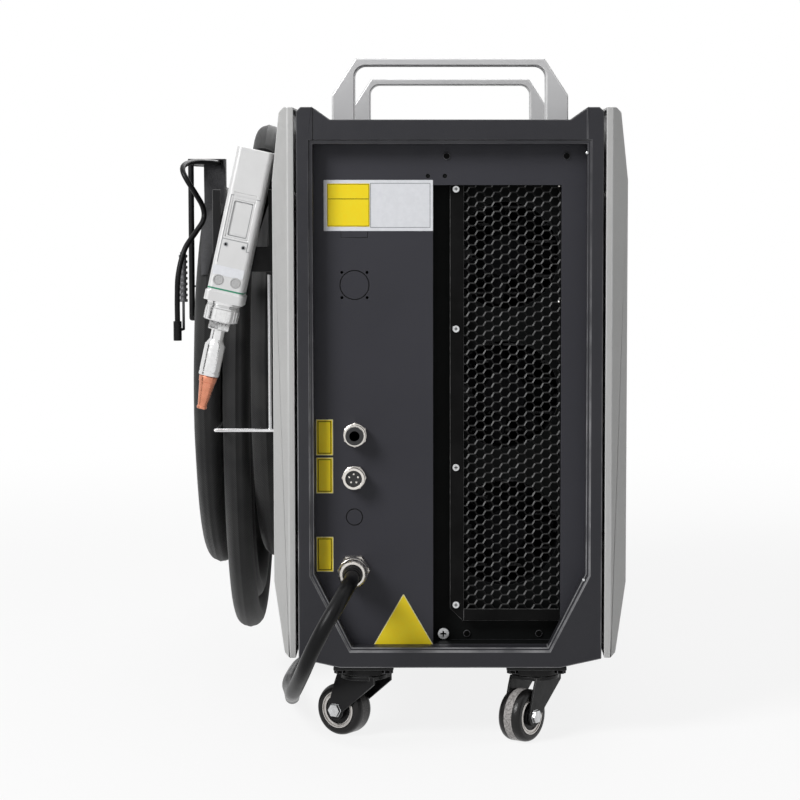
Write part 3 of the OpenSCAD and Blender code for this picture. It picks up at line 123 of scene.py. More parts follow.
def studio_air(light, backdrop):
    """The world: a soft grey light, and a white backdrop where it is seen."""
    world = bpy.data.worlds.new("studio_air")
    bpy.context.scene.world = world
    world.use_nodes = True
    tree = world.node_tree
    lit = tree.nodes["Background"]
    lit.inputs["Strength"].default_value = light
    white = tree.nodes.new("ShaderNodeBackground")
    white.inputs["Color"].default_value = (1, 1, 1, 1)
    white.inputs["Strength"].default_value = backdrop
    mix = tree.nodes.new("ShaderNodeMixShader")
    tree.links.new(seen_directly(tree), mix.inputs["Fac"])
    tree.links.new(lit.outputs[0], mix.inputs[1])
    tree.links.new(white.outputs[0], mix.inputs[2])
    tree.links.new(mix.outputs[0], tree.nodes["World Output"].inputs["Surface"])


def named(name):
    """Names the piece that was just added, and its data."""
    piece = bpy.context.object
    piece.name = piece.data.name = name
    return piece


def faced(piece, target):
    """Turns a lamp or a card to face a place."""
    piece.rotation_euler = (target - piece.location).to_track_quat("-Z", "Y").to_euler()


def studio_floor(size):
    """A pale floor that takes the object's shadow, and glows into the white backdrop far off."""
    bpy.ops.mesh.primitive_plane_add(size=size)
    floor = named("studio_floor")
    mat = finish_of("floor_paint", (0.8, 0.8, 0.8), 0.9)
    tree = mat.node_tree
    glow = tree.nodes.new("ShaderNodeEmission")
    glow.inputs["Strength"].default_value = 1.0
    place = tree.nodes.new("ShaderNodeTexCoord")
    reach = tree.nodes.new("ShaderNodeVectorMath")
    reach.operation = "LENGTH"
    tree.links.new(place.outputs["Object"], reach.inputs[0])
    near, far = 0.5, 2.0
    fade = ranged(mat, reach.outputs["Value"], 0.86, 1.0, near, far, "SMOOTHSTEP")
    mix = tree.nodes.new("ShaderNodeMixShader")
    tree.links.new(combined(tree, "MULTIPLY", seen_directly(tree), fade), mix.inputs["Fac"])
    tree.links.new(shader_of(mat).outputs[0], mix.inputs[1])
    tree.links.new(glow.outputs[0], mix.inputs[2])
    tree.links.new(mix.outputs[0], tree.nodes["Material Output"].inputs["Surface"])
    floor.data.materials.append(mat)


def soft_lamp(name, place, size, power):
    """A square lamp that faces the middle of the machine."""
    bpy.ops.object.light_add(type="AREA", location=place)
    lamp = named(name)
    lamp.data.size = size
    lamp.data.energy = power
    faced(lamp, at(0, 0.3, 0.3))


def dark_card(name, place, width, height):
    """A black card that faces the machine, seen in its bright metal alone."""
    bpy.ops.mesh.primitive_plane_add(size=1, location=place)
    card = named(name)
    card.scale = (width, height, 1)
    faced(card, at(0, 0.1, 0.3))
    card.data.materials.append(finish_of("card_black", (0, 0, 0), 0.5, shine=0))
    card.visible_camera = card.visible_diffuse = card.visible_shadow = False


studio_air(light=0.36, backdrop=1.0)
studio_floor(size=24)
dark_card("dark_card_left", at(-1.7, -0.5, 0.5), 0.45, 2.2)
dark_card("dark_card_right", at(1.3, -0.9, 0.5), 0.55, 2.2)
soft_lamp("key_lamp", at(-1.5, -1.5, 1.7), 1.0, 66)
soft_lamp("fill_lamp", at(1.7, -1.2, 1.0), 1.4, 3)
soft_lamp("top_lamp", at(0.2, 0.6, 2.2), 1.6, 12)
soft_lamp("back_lamp", at(0.4, 2.6, 1.6), 1.6, 16)


# The power cable. Twelve millimetre rubber flex that leaves the gland in a drop to the floor,
# runs under the machine and lies wound there in two layers, held by a hook-and-loop tie. The
# route repeats the CAD's points, and the coil its formula.
def route_of(*points):
    """The places of a cord's points, given in millimetres."""
    return [at(x / 1000, y / 1000, z / 1000) for x, y, z in points]


cable_d = 0.012
cable_route = route_of(
    (-76.9, -26, 137), (-77, -40, 137), (-79, -58, 135), (-86, -74, 124), (-96, -81, 107),
    (-106, -76, 87), (-114, -60, 68), (-121, -30, 51), (-126, 10, 38), (-129, 55, 27),
    (-132, 100, 17), (-136, 150, 11), (-141, 200, 8), (-141, 250, 6.2), (-137, 300, 6.2),
    (-125, 350, 6.2), (-111, 400, 6.4), (-104, 435, 7.4), (-103.3, 456, 7.5),
    (-103.3, 468, 7.5))
coil_centre = (-0.020, 0.480)
coil_turns = 5.5
coil_mid_r = 0.066
coil_pitch = 0.0126
coil_low_z = 0.0075
plug_lead = 0.070


def eased(t):
    """A step from 0 to 1 with soft ends."""
    t = min(max(t, 0), 1)
    return t * t * (3 - 2 * t)


def smooth_route(route, steps):
    """Points of a curve through a route, a given number to each leg."""
    points = []
    for i in range(len(route) - 1):
        a, b, c = route[max(i - 1, 0)], route[i], route[i + 1]
        d = route[min(i + 2, len(route) - 1)]
        for s in range(steps):
            t = s / steps
            points.append(0.5 * (2 * b + (c - a) * t + (2 * a - 5 * b + 4 * c - d) * t ** 2
                                 + (3 * b - a - 3 * c + d) * t ** 3))
    return points + [route[-1]]


def coil_point(u):
    """A place on the wound cable after u turns."""
    radius = coil_mid_r + coil_pitch * (abs(u - coil_turns / 2) - coil_turns / 4)
    angle = math.pi - 2 * math.pi * u
    rise = coil_pitch * eased((u - coil_turns / 2) * 2 + 0.5)
    return at(coil_centre[0] + radius * math.cos(angle),
              coil_centre[1] + radius * math.sin(angle), coil_low_z + rise)


def linked(name, mesh):
    """A new object in the scene with a mesh."""
    piece = bpy.data.objects.new(name, mesh)
    bpy.context.scene.collection.objects.link(piece)
    return piece


def swept(name, points, radius, sides, form=None, across=None, first=0):
    """A closed tube along points, with a UV map that runs round it and along it in metres.

    form(turn, run) gives the share of the radius at a turn round the tube and a run along it,
    and across is the direction of turn 0 at the point whose number is first.
    """
    count = len(points)
    run = [0.0]
    for a, b in zip(points, points[1:]):
        run.append(run[-1] + (b - a).length)
    along = [(points[min(i + 1, count - 1)] - points[max(i - 1, 0)]).normalized()
             for i in range(count)]
    sideways = [None] * count
    start = across if across else along[first].orthogonal()
    for numbers in (range(first, count), range(first, -1, -1)):
        carried = start
        for i in numbers:
            carried = (carried - along[i] * carried.dot(along[i])).normalized()
            sideways[i] = carried
    verts = []
    for i in range(count):
        upward = along[i].cross(sideways[i])
        for s in range(sides):
            angle = 2 * math.pi * s / sides
            reach = radius * (form(s / sides, run[i]) if form else 1)
            outward = sideways[i] * math.cos(angle) + upward * math.sin(angle)
            verts.append(points[i] + outward * reach)
    girth = 2 * math.pi * radius
    faces = []
    places = []
    for i in range(count - 1):
        for s in range(sides):
            corners = ((s, i), (s + 1, i), (s + 1, i + 1), (s, i + 1))
            faces.append([row * sides + turn % sides for turn, row in corners])
            places += [(girth * turn / sides, run[row]) for turn, row in corners]
    faces.append(list(range(sides))[::-1])
    faces.append([(count - 1) * sides + s for s in range(sides)])
    mesh = bpy.data.meshes.new(name)
    mesh.from_pydata(verts, [], faces)
    for corner, place in zip(mesh.uv_layers.new(name="UVMap").data, places):
        corner.uv = place
    return linked(name, mesh)


def grain(mat, scale, stretch=(1, 1, 1), detail=3):
    """Noise over the surface, at a number of marks to the metre; gives its output."""
    tree = mat.node_tree
    place = tree.nodes.new("ShaderNodeTexCoord")
    mapping = tree.nodes.new("ShaderNodeMapping")
    mapping.inputs["Scale"].default_value = stretch
    texture = tree.nodes.new("ShaderNodeTexNoise")
    texture.inputs["Scale"].default_value = scale
    texture.inputs["Detail"].default_value = detail
    tree.links.new(place.outputs["Object"], mapping.inputs["Vector"])
    tree.links.new(mapping.outputs["Vector"], texture.inputs["Vector"])
    return texture.outputs["Fac"]


def tinted(mat, mask, colour):
    """Lays a colour over the base colour where the mask is 1."""
    tree = mat.node_tree
    base = shader_of(mat).inputs["Base Color"]
    mix = tree.nodes.new("ShaderNodeMix")
    mix.data_type = "RGBA"
    mix.inputs["A"].default_value = base.default_value
    mix.inputs["B"].default_value = (*colour, 1)
    if base.is_linked:
        tree.links.new(base.links[0].from_socket, mix.inputs["A"])
    tree.links.new(mask, mix.inputs["Factor"])
    tree.links.new(mix.outputs["Result"], base)


def mottled(mat, colour, scale, share=0.5, detail=3, start=0.35, end=0.65):
    """Lays up to a share of a colour over the base colour in soft patches."""
    patches = grain(mat, scale, detail=detail)
    tinted(mat, ranged(mat, patches, 0, share, start, end), colour)


def roughened(mat, scale, low, high, detail=3, stretch=(1, 1, 1)):
    """Lets the roughness run from low to high in soft patches."""
    patches = ranged(mat, grain(mat, scale, stretch, detail), low, high)
    mat.node_tree.links.new(patches, shader_of(mat).inputs["Roughness"])


def embossed(mat, mask, depth):
    """Raises the surface by a depth where the mask is 1."""
    tree = mat.node_tree
    bump = tree.nodes.new("ShaderNodeBump")
    bump.inputs["Strength"].default_value = 1.0
    bump.inputs["Distance"].default_value = depth
    tree.links.new(mask, bump.inputs["Height"])
    tree.links.new(bump.outputs["Normal"], shader_of(mat).inputs["Normal"])


def pitted(mat, scale, depth, detail=1):
    """Gives the surface a fine skin of a depth."""
    embossed(mat, grain(mat, scale, detail=detail), depth)


def cable_rubber():
    """Black rubber, matt with dust, and smoother where it has been handled."""
    mat = finish_of("cable_rubber", (0.004, 0.004, 0.0045), 0.3, shine=0.14)
    mottled(mat, (0.010, 0.010, 0.011), 60)
    roughened(mat, 25, 0.26, 0.4, detail=5)
    pitted(mat, 2600, 0.00006)
    return mat


def chosen(piece):
    """Leaves one object selected and active."""
    bpy.ops.object.select_all(action="DESELECT")
    piece.select_set(True)
    bpy.context.view_layer.objects.active = piece


def smoothed(piece):
    """Shades a piece smooth, apart from its sharp edges."""
    chosen(piece)
    sharp_from = math.radians(35)
    bpy.ops.object.shade_smooth_by_angle(angle=sharp_from)
    return piece


def modified(piece, kind, **values):
    """Applies one modifier to a piece."""
    chosen(piece)
    modifier = piece.modifiers.new(kind, kind)
    for key, value in values.items():
        setattr(modifier, key, value)
    bpy.ops.object.modifier_apply(modifier=modifier.name)
    return piece


def settled(piece, mats, slot, body, *nodes):
    """Gives a piece its materials and its body, and hides the nodes it stands for; slot is not
    used.
    """
    modified(smoothed(piece), "WEIGHTED_NORMAL", keep_sharp=True)
    numbers = [face.material_index for face in piece.data.polygons]
    piece.data.materials.clear()
    for mat in mats:
        piece.data.materials.append(mat)
    piece.data.polygons.foreach_set("material_index", numbers)
    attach(piece, body)
    if nodes:
        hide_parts(*nodes)
    return piece


rubber = cable_rubber()
cable_steps = 6
coil_steps = 48
coil_end = coil_point(coil_turns)
cable_points = smooth_route(cable_route, cable_steps)[:-1] + [
    coil_point(i / coil_steps) for i in range(int(coil_turns * coil_steps) + 1)] + [
    coil_end - Vector((0, plug_lead * i / cable_steps, 0)) for i in range(1, cable_steps + 1)]
power_cord = swept("power_cord", cable_points, cable_d / 2, 20)
settled(power_cord, [rubber], "cable_black", "cabinet", "power_cable", "power_coil")


# The plug on the cable's end. A blue moulded body with a ribbed grip and a collar, a bend
# relief on the cable, and three nickel pins in its face.
def turned(name, profile, sides=48, ring=False):
    """A piece turned along +Z through (height, radius) pairs, by extruding a disc.

    With ring it has no end faces: its last edge is joined to its first, as a bore.
    """
    bpy.ops.mesh.primitive_circle_add(vertices=sides, radius=profile[0][1], fill_type="NGON")
    piece = named(name)
    bpy.ops.object.mode_set(mode="EDIT")
    bpy.ops.transform.translate(value=(0, 0, profile[0][0]))
    extrude = bpy.ops.mesh.extrude_region_move
    if ring:
        bpy.ops.mesh.delete(type="ONLY_FACE")
        bpy.ops.mesh.select_all(action="SELECT")
        extrude = bpy.ops.mesh.extrude_edges_move
    for (z0, r0), (z1, r1) in zip(profile, profile[1:]):
        extrude(TRANSFORM_OT_translate={"value": (0, 0, z1 - z0)})
        bpy.ops.transform.resize(value=(r1 / r0, r1 / r0, 1), center_override=(0, 0, z1))
    bpy.ops.mesh.select_all(action="SELECT")
    if ring:
        bpy.ops.mesh.remove_doubles(threshold=1e-7)
    bpy.ops.mesh.normals_make_consistent(inside=False)
    bpy.ops.object.mode_set(mode="OBJECT")
    return piece


def placed(piece, matrix):
    """Moves a finished mesh to its place and leaves its object at the origin."""
    piece.matrix_world = matrix
    chosen(piece)
    bpy.ops.object.transform_apply(location=True, rotation=True, scale=True)
    return piece


def along(start, direction):
    """The place and turn that take +Z from the origin to a direction from a start."""
    turn = Vector((0, 0, 1)).rotation_difference(Vector(direction)).to_matrix().to_4x4()
    return Matrix.Translation(start) @ turn


def joined(name, pieces):
    """Makes one object of several."""
    chosen(pieces[0])
    for piece in pieces[1:]:
        piece.select_set(True)
    bpy.ops.object.join()
    return named(name)


def plug_moulding():
    """Blue moulded plastic."""
    mat = finish_of("plug_moulding", (0.024, 0.075, 0.26), 0.42)
    mottled(mat, (0.035, 0.095, 0.30), 90, 0.4)
    pitted(mat, 1800, 0.00005)
    return mat


def nickel_plate():
    """Bright nickel plating, with a fine turned grain and worn darker patches."""
    mat = finish_of("nickel_plate", (0.72, 0.69, 0.65), 0.26, 1.0)
    mottled(mat, (0.42, 0.39, 0.36), 220, detail=6, start=0.55, end=0.8)
    roughened(mat, 400, 0.18, 0.42, detail=4)
    pitted(mat, 2400, 0.00003, detail=2)
    return mat


nickel = nickel_plate()
plug_low, plug_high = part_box("power_plug")
plug_r = (plug_high.x - plug_low.x) / 2
plug_x = (plug_low.x + plug_high.x) / 2
plug_z = (plug_low.z + plug_high.z) / 2
pin_l = 0.020
plug_body_l = plug_high.y - plug_low.y - pin_l
rib_count = 9
rib_pitch = 0.003
plug_profile = [(0, 0.0072), (0.001, 0.0080), (0.012, 0.0088), (0.020, plug_r - 0.0045)]
for i in range(rib_count):
    rib_z = 0.0215 + i * rib_pitch
    plug_profile += [(rib_z, plug_r - 0.0012), (rib_z + 0.0014, plug_r - 0.0012),
                     (rib_z + 0.0018, plug_r - 0.0026), (rib_z + 0.0027, plug_r - 0.0026)]
plug_profile += [(0.0495, plug_r - 0.0008), (0.0505, plug_r), (0.0590, plug_r),
                 (0.0600, plug_r - 0.0014), (plug_body_l - 0.001, plug_r - 0.0014),
                 (plug_body_l, plug_r - 0.0026), (plug_body_l, plug_r - 0.0045),
                 (plug_body_l - 0.003, plug_r - 0.0048)]
plug_place = along(Vector((plug_x, plug_high.y, plug_z)), (0, -1, 0))
plug = placed(turned("plug_body", plug_profile), plug_place)
settled(plug, [plug_moulding()], "plug_blue", "cabinet", "power_plug")
pins = []
pin_count = 3
pin_circle_r = 0.008
for i in range(pin_count):
    pin = turned("plug_pin", [(0, 0.0024), (pin_l + 0.001, 0.0024), (pin_l + 0.0025, 0.0018),
                              (pin_l + 0.003, 0.0009)], 20)
    spot = Vector((plug_x, plug_low.y + pin_l + 0.003, plug_z))
    angle = i * math.tau / pin_count
    spot += pin_circle_r * Vector((math.sin(angle), 0, math.cos(angle)))
    pins.append(placed(pin, along(spot, (0, -1, 0))))
plug_pins = settled(joined("plug_pins", pins), [nickel], "nickel", "cabinet")


# The umbilical. A black woven sleeve with one sewn seam, over the gun's fibre, gas tube and
# wires. It leaves its gland at the control end, goes round the corner, is wound over the hook
# in three layers, and comes over the top to the gun. Its last stretch is a piece of its own.
hose_d = 0.023
hose_front_route = route_of(
    (-10, 660, 110), (-10, 675, 110), (-10, 692, 109), (-23, 741, 102), (-59, 777, 91),
    (-109, 790, 80), (-159, 777, 76), (-195, 741, 77), (-208, 692, 84), (-208, 640, 98),
    (-208, 590, 109), (-208, 570, 112), (-207.5, 532, 120), (-206.5, 499, 141),
    (-205.5, 478, 174), (-205, 470, 212), (-205, 470, 228), (-205, 470, 243.7))
gun_lead_route = route_of(
    (-155, 277, 482), (-155, 262, 482), (-155, 245, 482.4), (-155, 220, 483),
    (-155, 195, 483.3), (-154.6, 179.5, 482.4), (-154.4, 167, 479.7),
    (-154.4, 155, 475.1), (-154.5, 142.3, 468.5), (-155.1, 138.2, 465.7),
    (-155.7, 134.1, 463))
hose_layers = [(-0.205, 0.2667, 0.170), (-0.1805, 0.256, 0.208), (-0.155, 0.2946, 0.156)]
hose_centre_y = 0.300
hose_reach_y = 0.170
hose_draw_in = 0.025
hose_turns = 5.25
step_over = (1.75, 4.0)
reshape = (1.85, 4.0)
change_turns = 0.25


def layer_mix(u, k):
    """One measure of the hose's layers after u turns, between layers as it steps over."""
    first, second = step_over if k == 0 else reshape
    return (hose_layers[0][k]
            + (hose_layers[1][k] - hose_layers[0][k]) * eased((u - first) / change_turns)
            + (hose_layers[2][k] - hose_layers[1][k]) * eased((u - second) / change_turns))


def hose_point(u):
    """A place on the wound hose after u turns."""
    inset = hose_draw_in * (2 - abs(u - 2))
    angle = math.tau * u
    return at(layer_mix(u, 0), hose_centre_y + (hose_reach_y - inset) * math.cos(angle),
              layer_mix(u, 1) + (layer_mix(u, 2) - inset) * math.sin(angle))


def sleeve_form(turn, run):
    """The sleeve's slack folds, and its seam, which lies on the outside of each loop."""
    angle = math.tau * turn
    place = Vector((math.cos(angle) * 0.9, math.sin(angle) * 0.9, run * 13))
    folds = noise.noise(place) * 0.035 + noise.noise(place * 2.7) * 0.015
    from_seam = abs(turn - 0.25)
    seam_w, gutter_off, gutter_w = 0.012, 0.04, 0.016
    seam = math.exp(-(from_seam / seam_w) ** 2)
    gutter = math.exp(-((from_seam - gutter_off) / gutter_w) ** 2)
    return 0.99 + folds * 0.9 + 0.03 * seam - 0.025 * gutter


def sleeve_cloth():
    """Black woven polyester: crossed threads about a millimetre apart, with a soft sheen."""
    mat = finish_of("sleeve_cloth", (0.006, 0.006, 0.0065), 0.5, shine=0.22)
    shader_of(mat).inputs["Sheen Weight"].default_value = 0.12
    shader_of(mat).inputs["Sheen Roughness"].default_value = 0.4
    tree = mat.node_tree
    thread_marks = 260
    place = tree.nodes.new("ShaderNodeUVMap")
    threads = []
    for turn in (45, -45):
        mapping = tree.nodes.new("ShaderNodeMapping")
        mapping.inputs["Rotation"].default_value = (0, 0, math.radians(turn))
        wave = tree.nodes.new("ShaderNodeTexWave")
        wave.inputs["Scale"].default_value = thread_marks
        wave.inputs["Distortion"].default_value = 0.6
        tree.links.new(place.outputs["UV"], mapping.inputs["Vector"])
        tree.links.new(mapping.outputs["Vector"], wave.inputs["Vector"])
        threads.append(wave.outputs["Fac"])
    woven = combined(tree, "MULTIPLY", *threads)
    tinted(mat, ranged(mat, woven, 0, 0.8, 0.1, 0.6), (0.016, 0.016, 0.017))
    mottled(mat, (0.030, 0.030, 0.029), 30, detail=5)
    embossed(mat, woven, 0.00025)
    return mat


sleeve = sleeve_cloth()
hose_steps = 72
leg_steps = 8
sleeve_sides = 64
seam_from_end = 200
hose_coil = [hose_point(i / hose_steps) for i in range(int(hose_turns * hose_steps) + 1)]
coil_exit = hose_coil[-1] - Vector((0, hose_d, 0))
hose_points = smooth_route(hose_front_route, leg_steps)[:-1] + [
    hose_coil[0] - Vector((0, 0, hose_d / 2))] + hose_coil + [coil_exit]
umbilical = swept("umbilical_hose", hose_points, hose_d / 2, sleeve_sides, sleeve_form,
                  across=Vector((1, 0, 0)), first=len(hose_points) - seam_from_end)
settled(umbilical, [sleeve], "sleeve_black", "cabinet", "umbilical_coil", "umbilical_leads")

lead_points = smooth_route(gun_lead_route, leg_steps)
gun_lead = swept("umbilical_gun_end", lead_points, hose_d / 2, sleeve_sides, sleeve_form,
                 across=Vector((1, 0, 0)))
smoothed(gun_lead).data.materials.append(sleeve)
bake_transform(gun_lead)


# The earth lead. A thin black wire held under the strap, which makes a small loop to the left,
# hangs down before the hose and ends in a ferrule, beside a small sprung clip.
earth_d = 0.0045
earth_route = route_of(
    (-201.5, 224, 462.6), (-201.5, 210, 462.6), (-206, 182, 463.2), (-215, 146, 463),
    (-220.4, 121, 460), (-220.6, 110, 455), (-216.5, 106, 447), (-210, 110, 436),
    (-204.8, 116, 425), (-204.4, 115, 415), (-209.5, 104, 405), (-218, 95, 391),
    (-223, 91, 371), (-224, 90, 352), (-224, 90, 332))
earth_points = smooth_route(earth_route, leg_steps)
earth_lead = swept("earth_wire", earth_points, earth_d / 2, 14)
settled(earth_lead, [rubber], "cable_black", "cabinet", "earth_lead")


# The clip and ferrule on the earth lead. A steel spring wound on a pin, and a crimped sleeve
# in black at the wire's end. Both keep the CAD's shapes, with their edges rounded.
def rounded(piece, width, segments=2):
    """Rounds the sharp edges, and marks the new faces, which finishes paint paler: as wear, and on
    the frames and the dark screws as painted highlight.
    """
    mesh = piece.data
    mesh.materials.clear()
    for name in ("flat", "edge"):
        mesh.materials.append(bpy.data.materials.get(name) or bpy.data.materials.new(name))
    mesh.polygons.foreach_set("material_index", [0] * len(mesh.polygons))
    modified(piece, "BEVEL", width=width, segments=segments, limit_method="ANGLE",
             angle_limit=math.radians(28), use_clamp_overlap=False, material=1)
    wear_and_highlight = mesh.attributes.new("wear_and_highlight", "FLOAT", "FACE")
    wear_and_highlight.data.foreach_set("value", [float(face.material_index) for face in mesh.polygons])
    mesh.polygons.foreach_set("material_index", [0] * len(mesh.polygons))
    mesh.materials.clear()
    return piece


def cut_out(piece, *cutters):
    """Takes the cutters' shapes out of a piece, and deletes them."""
    for cutter in cutters:
        modified(piece, "BOOLEAN", object=cutter)
        bpy.data.objects.remove(cutter)
    return piece


def split(piece, test):
    """Gives the faces that pass the test the piece's second material."""
    for face in piece.data.polygons:
        if test(face):
            face.material_index = 1
    return piece


def from_cad(node, name, width, segments=2, cutters=()):
    """A copy of a CAD node with its flat faces joined, its cuts made and its edges round."""
    mesh = frame["nodes"][node].data.copy()
    mesh.materials.clear()
    piece = linked(name, mesh)
    chosen(piece)
    bpy.ops.mesh.customdata_custom_splitnormals_clear()
    bpy.ops.object.mode_set(mode="EDIT")
    bpy.ops.mesh.select_all(action="SELECT")
    same_place, same_plane = 2e-6, math.radians(0.6)
    bpy.ops.mesh.remove_doubles(threshold=same_place)
    bpy.ops.mesh.dissolve_limited(angle_limit=same_plane)
    bpy.ops.object.mode_set(mode="OBJECT")
    return rounded(cut_out(piece, *cutters), width, segments)


def spring_steel():
    """Dull spring steel."""
    mat = finish_of("spring_steel", (0.10, 0.10, 0.105), 0.38, 0.7)
    roughened(mat, 500, 0.3, 0.5)
    return mat


ferrule_top = 0.336
earth_clip = from_cad("earth_clip", "earth_clip_spring", 0.0003)
split(earth_clip, lambda face: face.center.z < ferrule_top)
settled(earth_clip, [spring_steel(), rubber], "spring_grey", "cabinet", "earth_clip")


# The ties. A hook-and-loop band round the wound cable, and a wide strap that holds the hose
# to its hook, with a pull on its front.
def strap_webbing():
    """Black nylon webbing, with its ribs across the band."""
    mat = finish_of("strap_webbing", (0.012, 0.012, 0.014), 0.75)
    shader_of(mat).inputs["Sheen Weight"].default_value = 0.4
    embossed(mat, grain(mat, 900, stretch=(1, 0.15, 1)), 0.0003)
    mottled(mat, (0.03, 0.03, 0.034), 200)
    return mat


def edit_where(piece, kind, test):
    """Enters edit mode with the edges or the faces that pass a test selected."""
    chosen(piece)
    bpy.ops.object.mode_set(mode="EDIT")
    bpy.ops.mesh.select_mode(type=kind)
    bpy.ops.mesh.select_all(action="DESELECT")
    bpy.ops.object.mode_set(mode="OBJECT")
    for part in piece.data.edges if kind == "EDGE" else piece.data.polygons:
        part.select = test(part)
    bpy.ops.object.mode_set(mode="EDIT")


def bevelled(piece, axis, radius, segments):
    """Rounds the edges that run along one axis."""
    points = piece.data.vertices

    def runs_along(edge):
        """Tells whether an edge runs along the axis."""
        run = points[edge.vertices[1]].co - points[edge.vertices[0]].co
        return abs(run.normalized()[axis]) > 0.999

    edit_where(piece, "EDGE", runs_along)
    bpy.ops.mesh.bevel(offset=radius, segments=segments, clamp_overlap=True)
    bpy.ops.object.mode_set(mode="OBJECT")
    return piece


cord_ties = bevelled(from_cad("cord_ties", "cord_straps", 0.0002, 1), 1, 0.004, 5)
webbing = strap_webbing()
settled(cord_ties, [webbing], "strap_black", "cabinet", "cord_ties")
strap_d = 0.0013
crown_mm = 1.2
crown_rows = 4
pull_path = [(227.5, 465.3), (227.2, 452), (226.6, 438), (225.0, 427), (215.5, 420.5),
             (203.0, 412.5), (190.5, 402), (179.5, 391.5), (169.5, 379.5), (161.0, 367.0)]
pull_sides = [(-214.5, -195.5), (-214.5, -195.8), (-214.3, -196.3), (-214.0, -197), (-213.8, -198),
              (-213.6, -199), (-213.4, -200.3), (-213.0, -201.8), (-212.2, -203.6), (-210.6, -206)]
bpy.ops.mesh.primitive_plane_add(size=1)
strap_pull = named("strap_pull")
bpy.ops.object.mode_set(mode="EDIT")
bpy.ops.mesh.subdivide(number_cuts=len(pull_path) - 2)
bpy.ops.object.mode_set(mode="OBJECT")
for point in strap_pull.data.vertices:
    row = round((0.5 - point.co.y) * (len(pull_path) - 1))
    across = point.co.x + 0.5
    (y, z), (left, right) = pull_path[row], pull_sides[row]
    crown = crown_mm * math.sin(math.pi * across) * min(row / crown_rows, 1)
    point.co = route_of((left + (right - left) * across, y - crown, z + crown / 2))[0]
modified(strap_pull, "SOLIDIFY", thickness=strap_d, offset=0)
rounded(strap_pull, 0.0003)
settled(strap_pull, [webbing], "strap_black", "cabinet")


# The two end frames. Moulded dark grey frames with cut corners and raised ears, finished in a
# fine texture. Their round edges are painted paler, most of all low down: partly wear, partly
# painted highlight.
def low_part(mat, top, foot):
    """Runs from a small share above a height to 1 below another."""
    tree = mat.node_tree
    place = tree.nodes.new("ShaderNodeTexCoord")
    parts = tree.nodes.new("ShaderNodeSeparateXYZ")
    tree.links.new(place.outputs["Object"], parts.inputs["Vector"])
    return ranged(mat, parts.outputs["Z"], 1.0, 0.2, foot, top)


def marked(mat, name):
    """A mark that the faces carry, as a mask."""
    mark = mat.node_tree.nodes.new("ShaderNodeAttribute")
    mark.attribute_name = name
    return mark.outputs["Fac"]


def wear_and_highlight_edges(mat, colour, strength, share=None, scale=45):
    """Lets the marked faces show paler in patches, all over or by a share: wear, and on some
    finishes painted highlight.
    """
    patches = ranged(mat, grain(mat, scale, detail=5), strength * 0.35, strength)
    mask = combined(mat.node_tree, "MULTIPLY", marked(mat, "wear_and_highlight"), patches)
    if share:
        mask = combined(mat.node_tree, "MULTIPLY", mask, share)
    tinted(mat, mask, colour)


def frame_moulding():
    """Dark grey moulding with a fine leathery texture."""
    mat = finish_of("frame_moulding", (0.020, 0.020, 0.024), 0.42, shine=0.25)
    mottled(mat, (0.027, 0.027, 0.031), 14, detail=4)
    # Paler round edges, strongest low down: partly wear, partly painted highlight.
    wear_and_highlight_edges(mat, (0.34, 0.34, 0.35), 0.7, low_part(mat, 0.42, 0.22))
    roughened(mat, 120, 0.38, 0.52, detail=4)
    pitted(mat, 1500, 0.00008, detail=2)
    return mat


def block(name, low, high):
    """A box between two corners, its object at the origin."""
    bpy.ops.mesh.primitive_cube_add(size=1, location=(low + high) / 2)
    piece = named(name)
    piece.scale = high - low
    bpy.ops.object.transform_apply(location=True, rotation=True, scale=True)
    return piece


moulding = frame_moulding()
post_x = 0.1077
top_step_z = 0.4772
top_step_d = 0.0012
for node in ("rear_frame", "front_frame"):
    low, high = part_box(node)
    face_y = low.y - rear_y if node == "rear_frame" else high.y - rear_y
    top_step = block("top_step", at(-post_x, face_y - top_step_d, top_step_z),
                     at(post_x, face_y + top_step_d, high.z + top_step_d))
    end_frame = from_cad(node, node + "_moulding", 0.0008, 3, [top_step])
    settled(end_frame, [moulding], "frame_grey", "cabinet", node)


# The sheet metal of the body: the folded pan with its side walls, the top cover, and the two
# end panels, in dark powder coat.
def powder_coat(name, colour, pale, shine):
    """Powder coat with its orange-peel skin."""
    mat = finish_of(name, colour, 0.46, shine=shine)
    mottled(mat, pale, 9, 0.6, detail=4)
    wear_and_highlight_edges(mat, (0.12, 0.12, 0.13), 0.45)
    roughened(mat, 60, 0.47, 0.53, detail=4)
    pitted(mat, 900, 0.00003)
    return mat


def plain(node, name, width, segments, mat, slot, body="cabinet"):
    """A rounded copy of a CAD node in one material."""
    return settled(from_cad(node, name, width, segments), [mat], slot, body, node)


panel_coat = powder_coat("panel_coat", (0.023, 0.023, 0.029), (0.030, 0.030, 0.037), 0.25)
cover_coat = powder_coat("cover_coat", (0.036, 0.036, 0.041), (0.046, 0.046, 0.051), 0.25)
sunk_near_black = powder_coat("sunk_near_black", (0.003, 0.0035, 0.0035), (0.006, 0.0065, 0.0065), 0.06)
for node, coat, slot in (("base_pan", panel_coat, "panel_black"),
                         ("top_cover", cover_coat, "frame_grey"),
                         ("front_panel", panel_coat, "panel_black")):
    plain(node, node + "_sheet", 0.0003, 2, coat, slot)


# The connector panel. Its sunk faces, in the bay, the score lines and the pilot holes, are
# near-black: painted shade in the score lines and the holes. It has two open pilot holes above
# the big label's right end, and a scored rectangle under the label.
def outline(name, low, high, width):
    """The rim of a box, open from front to back."""
    inset = Vector((width, -0.001, width))
    return cut_out(block(name, low, high), block("core", low + inset, high - inset))


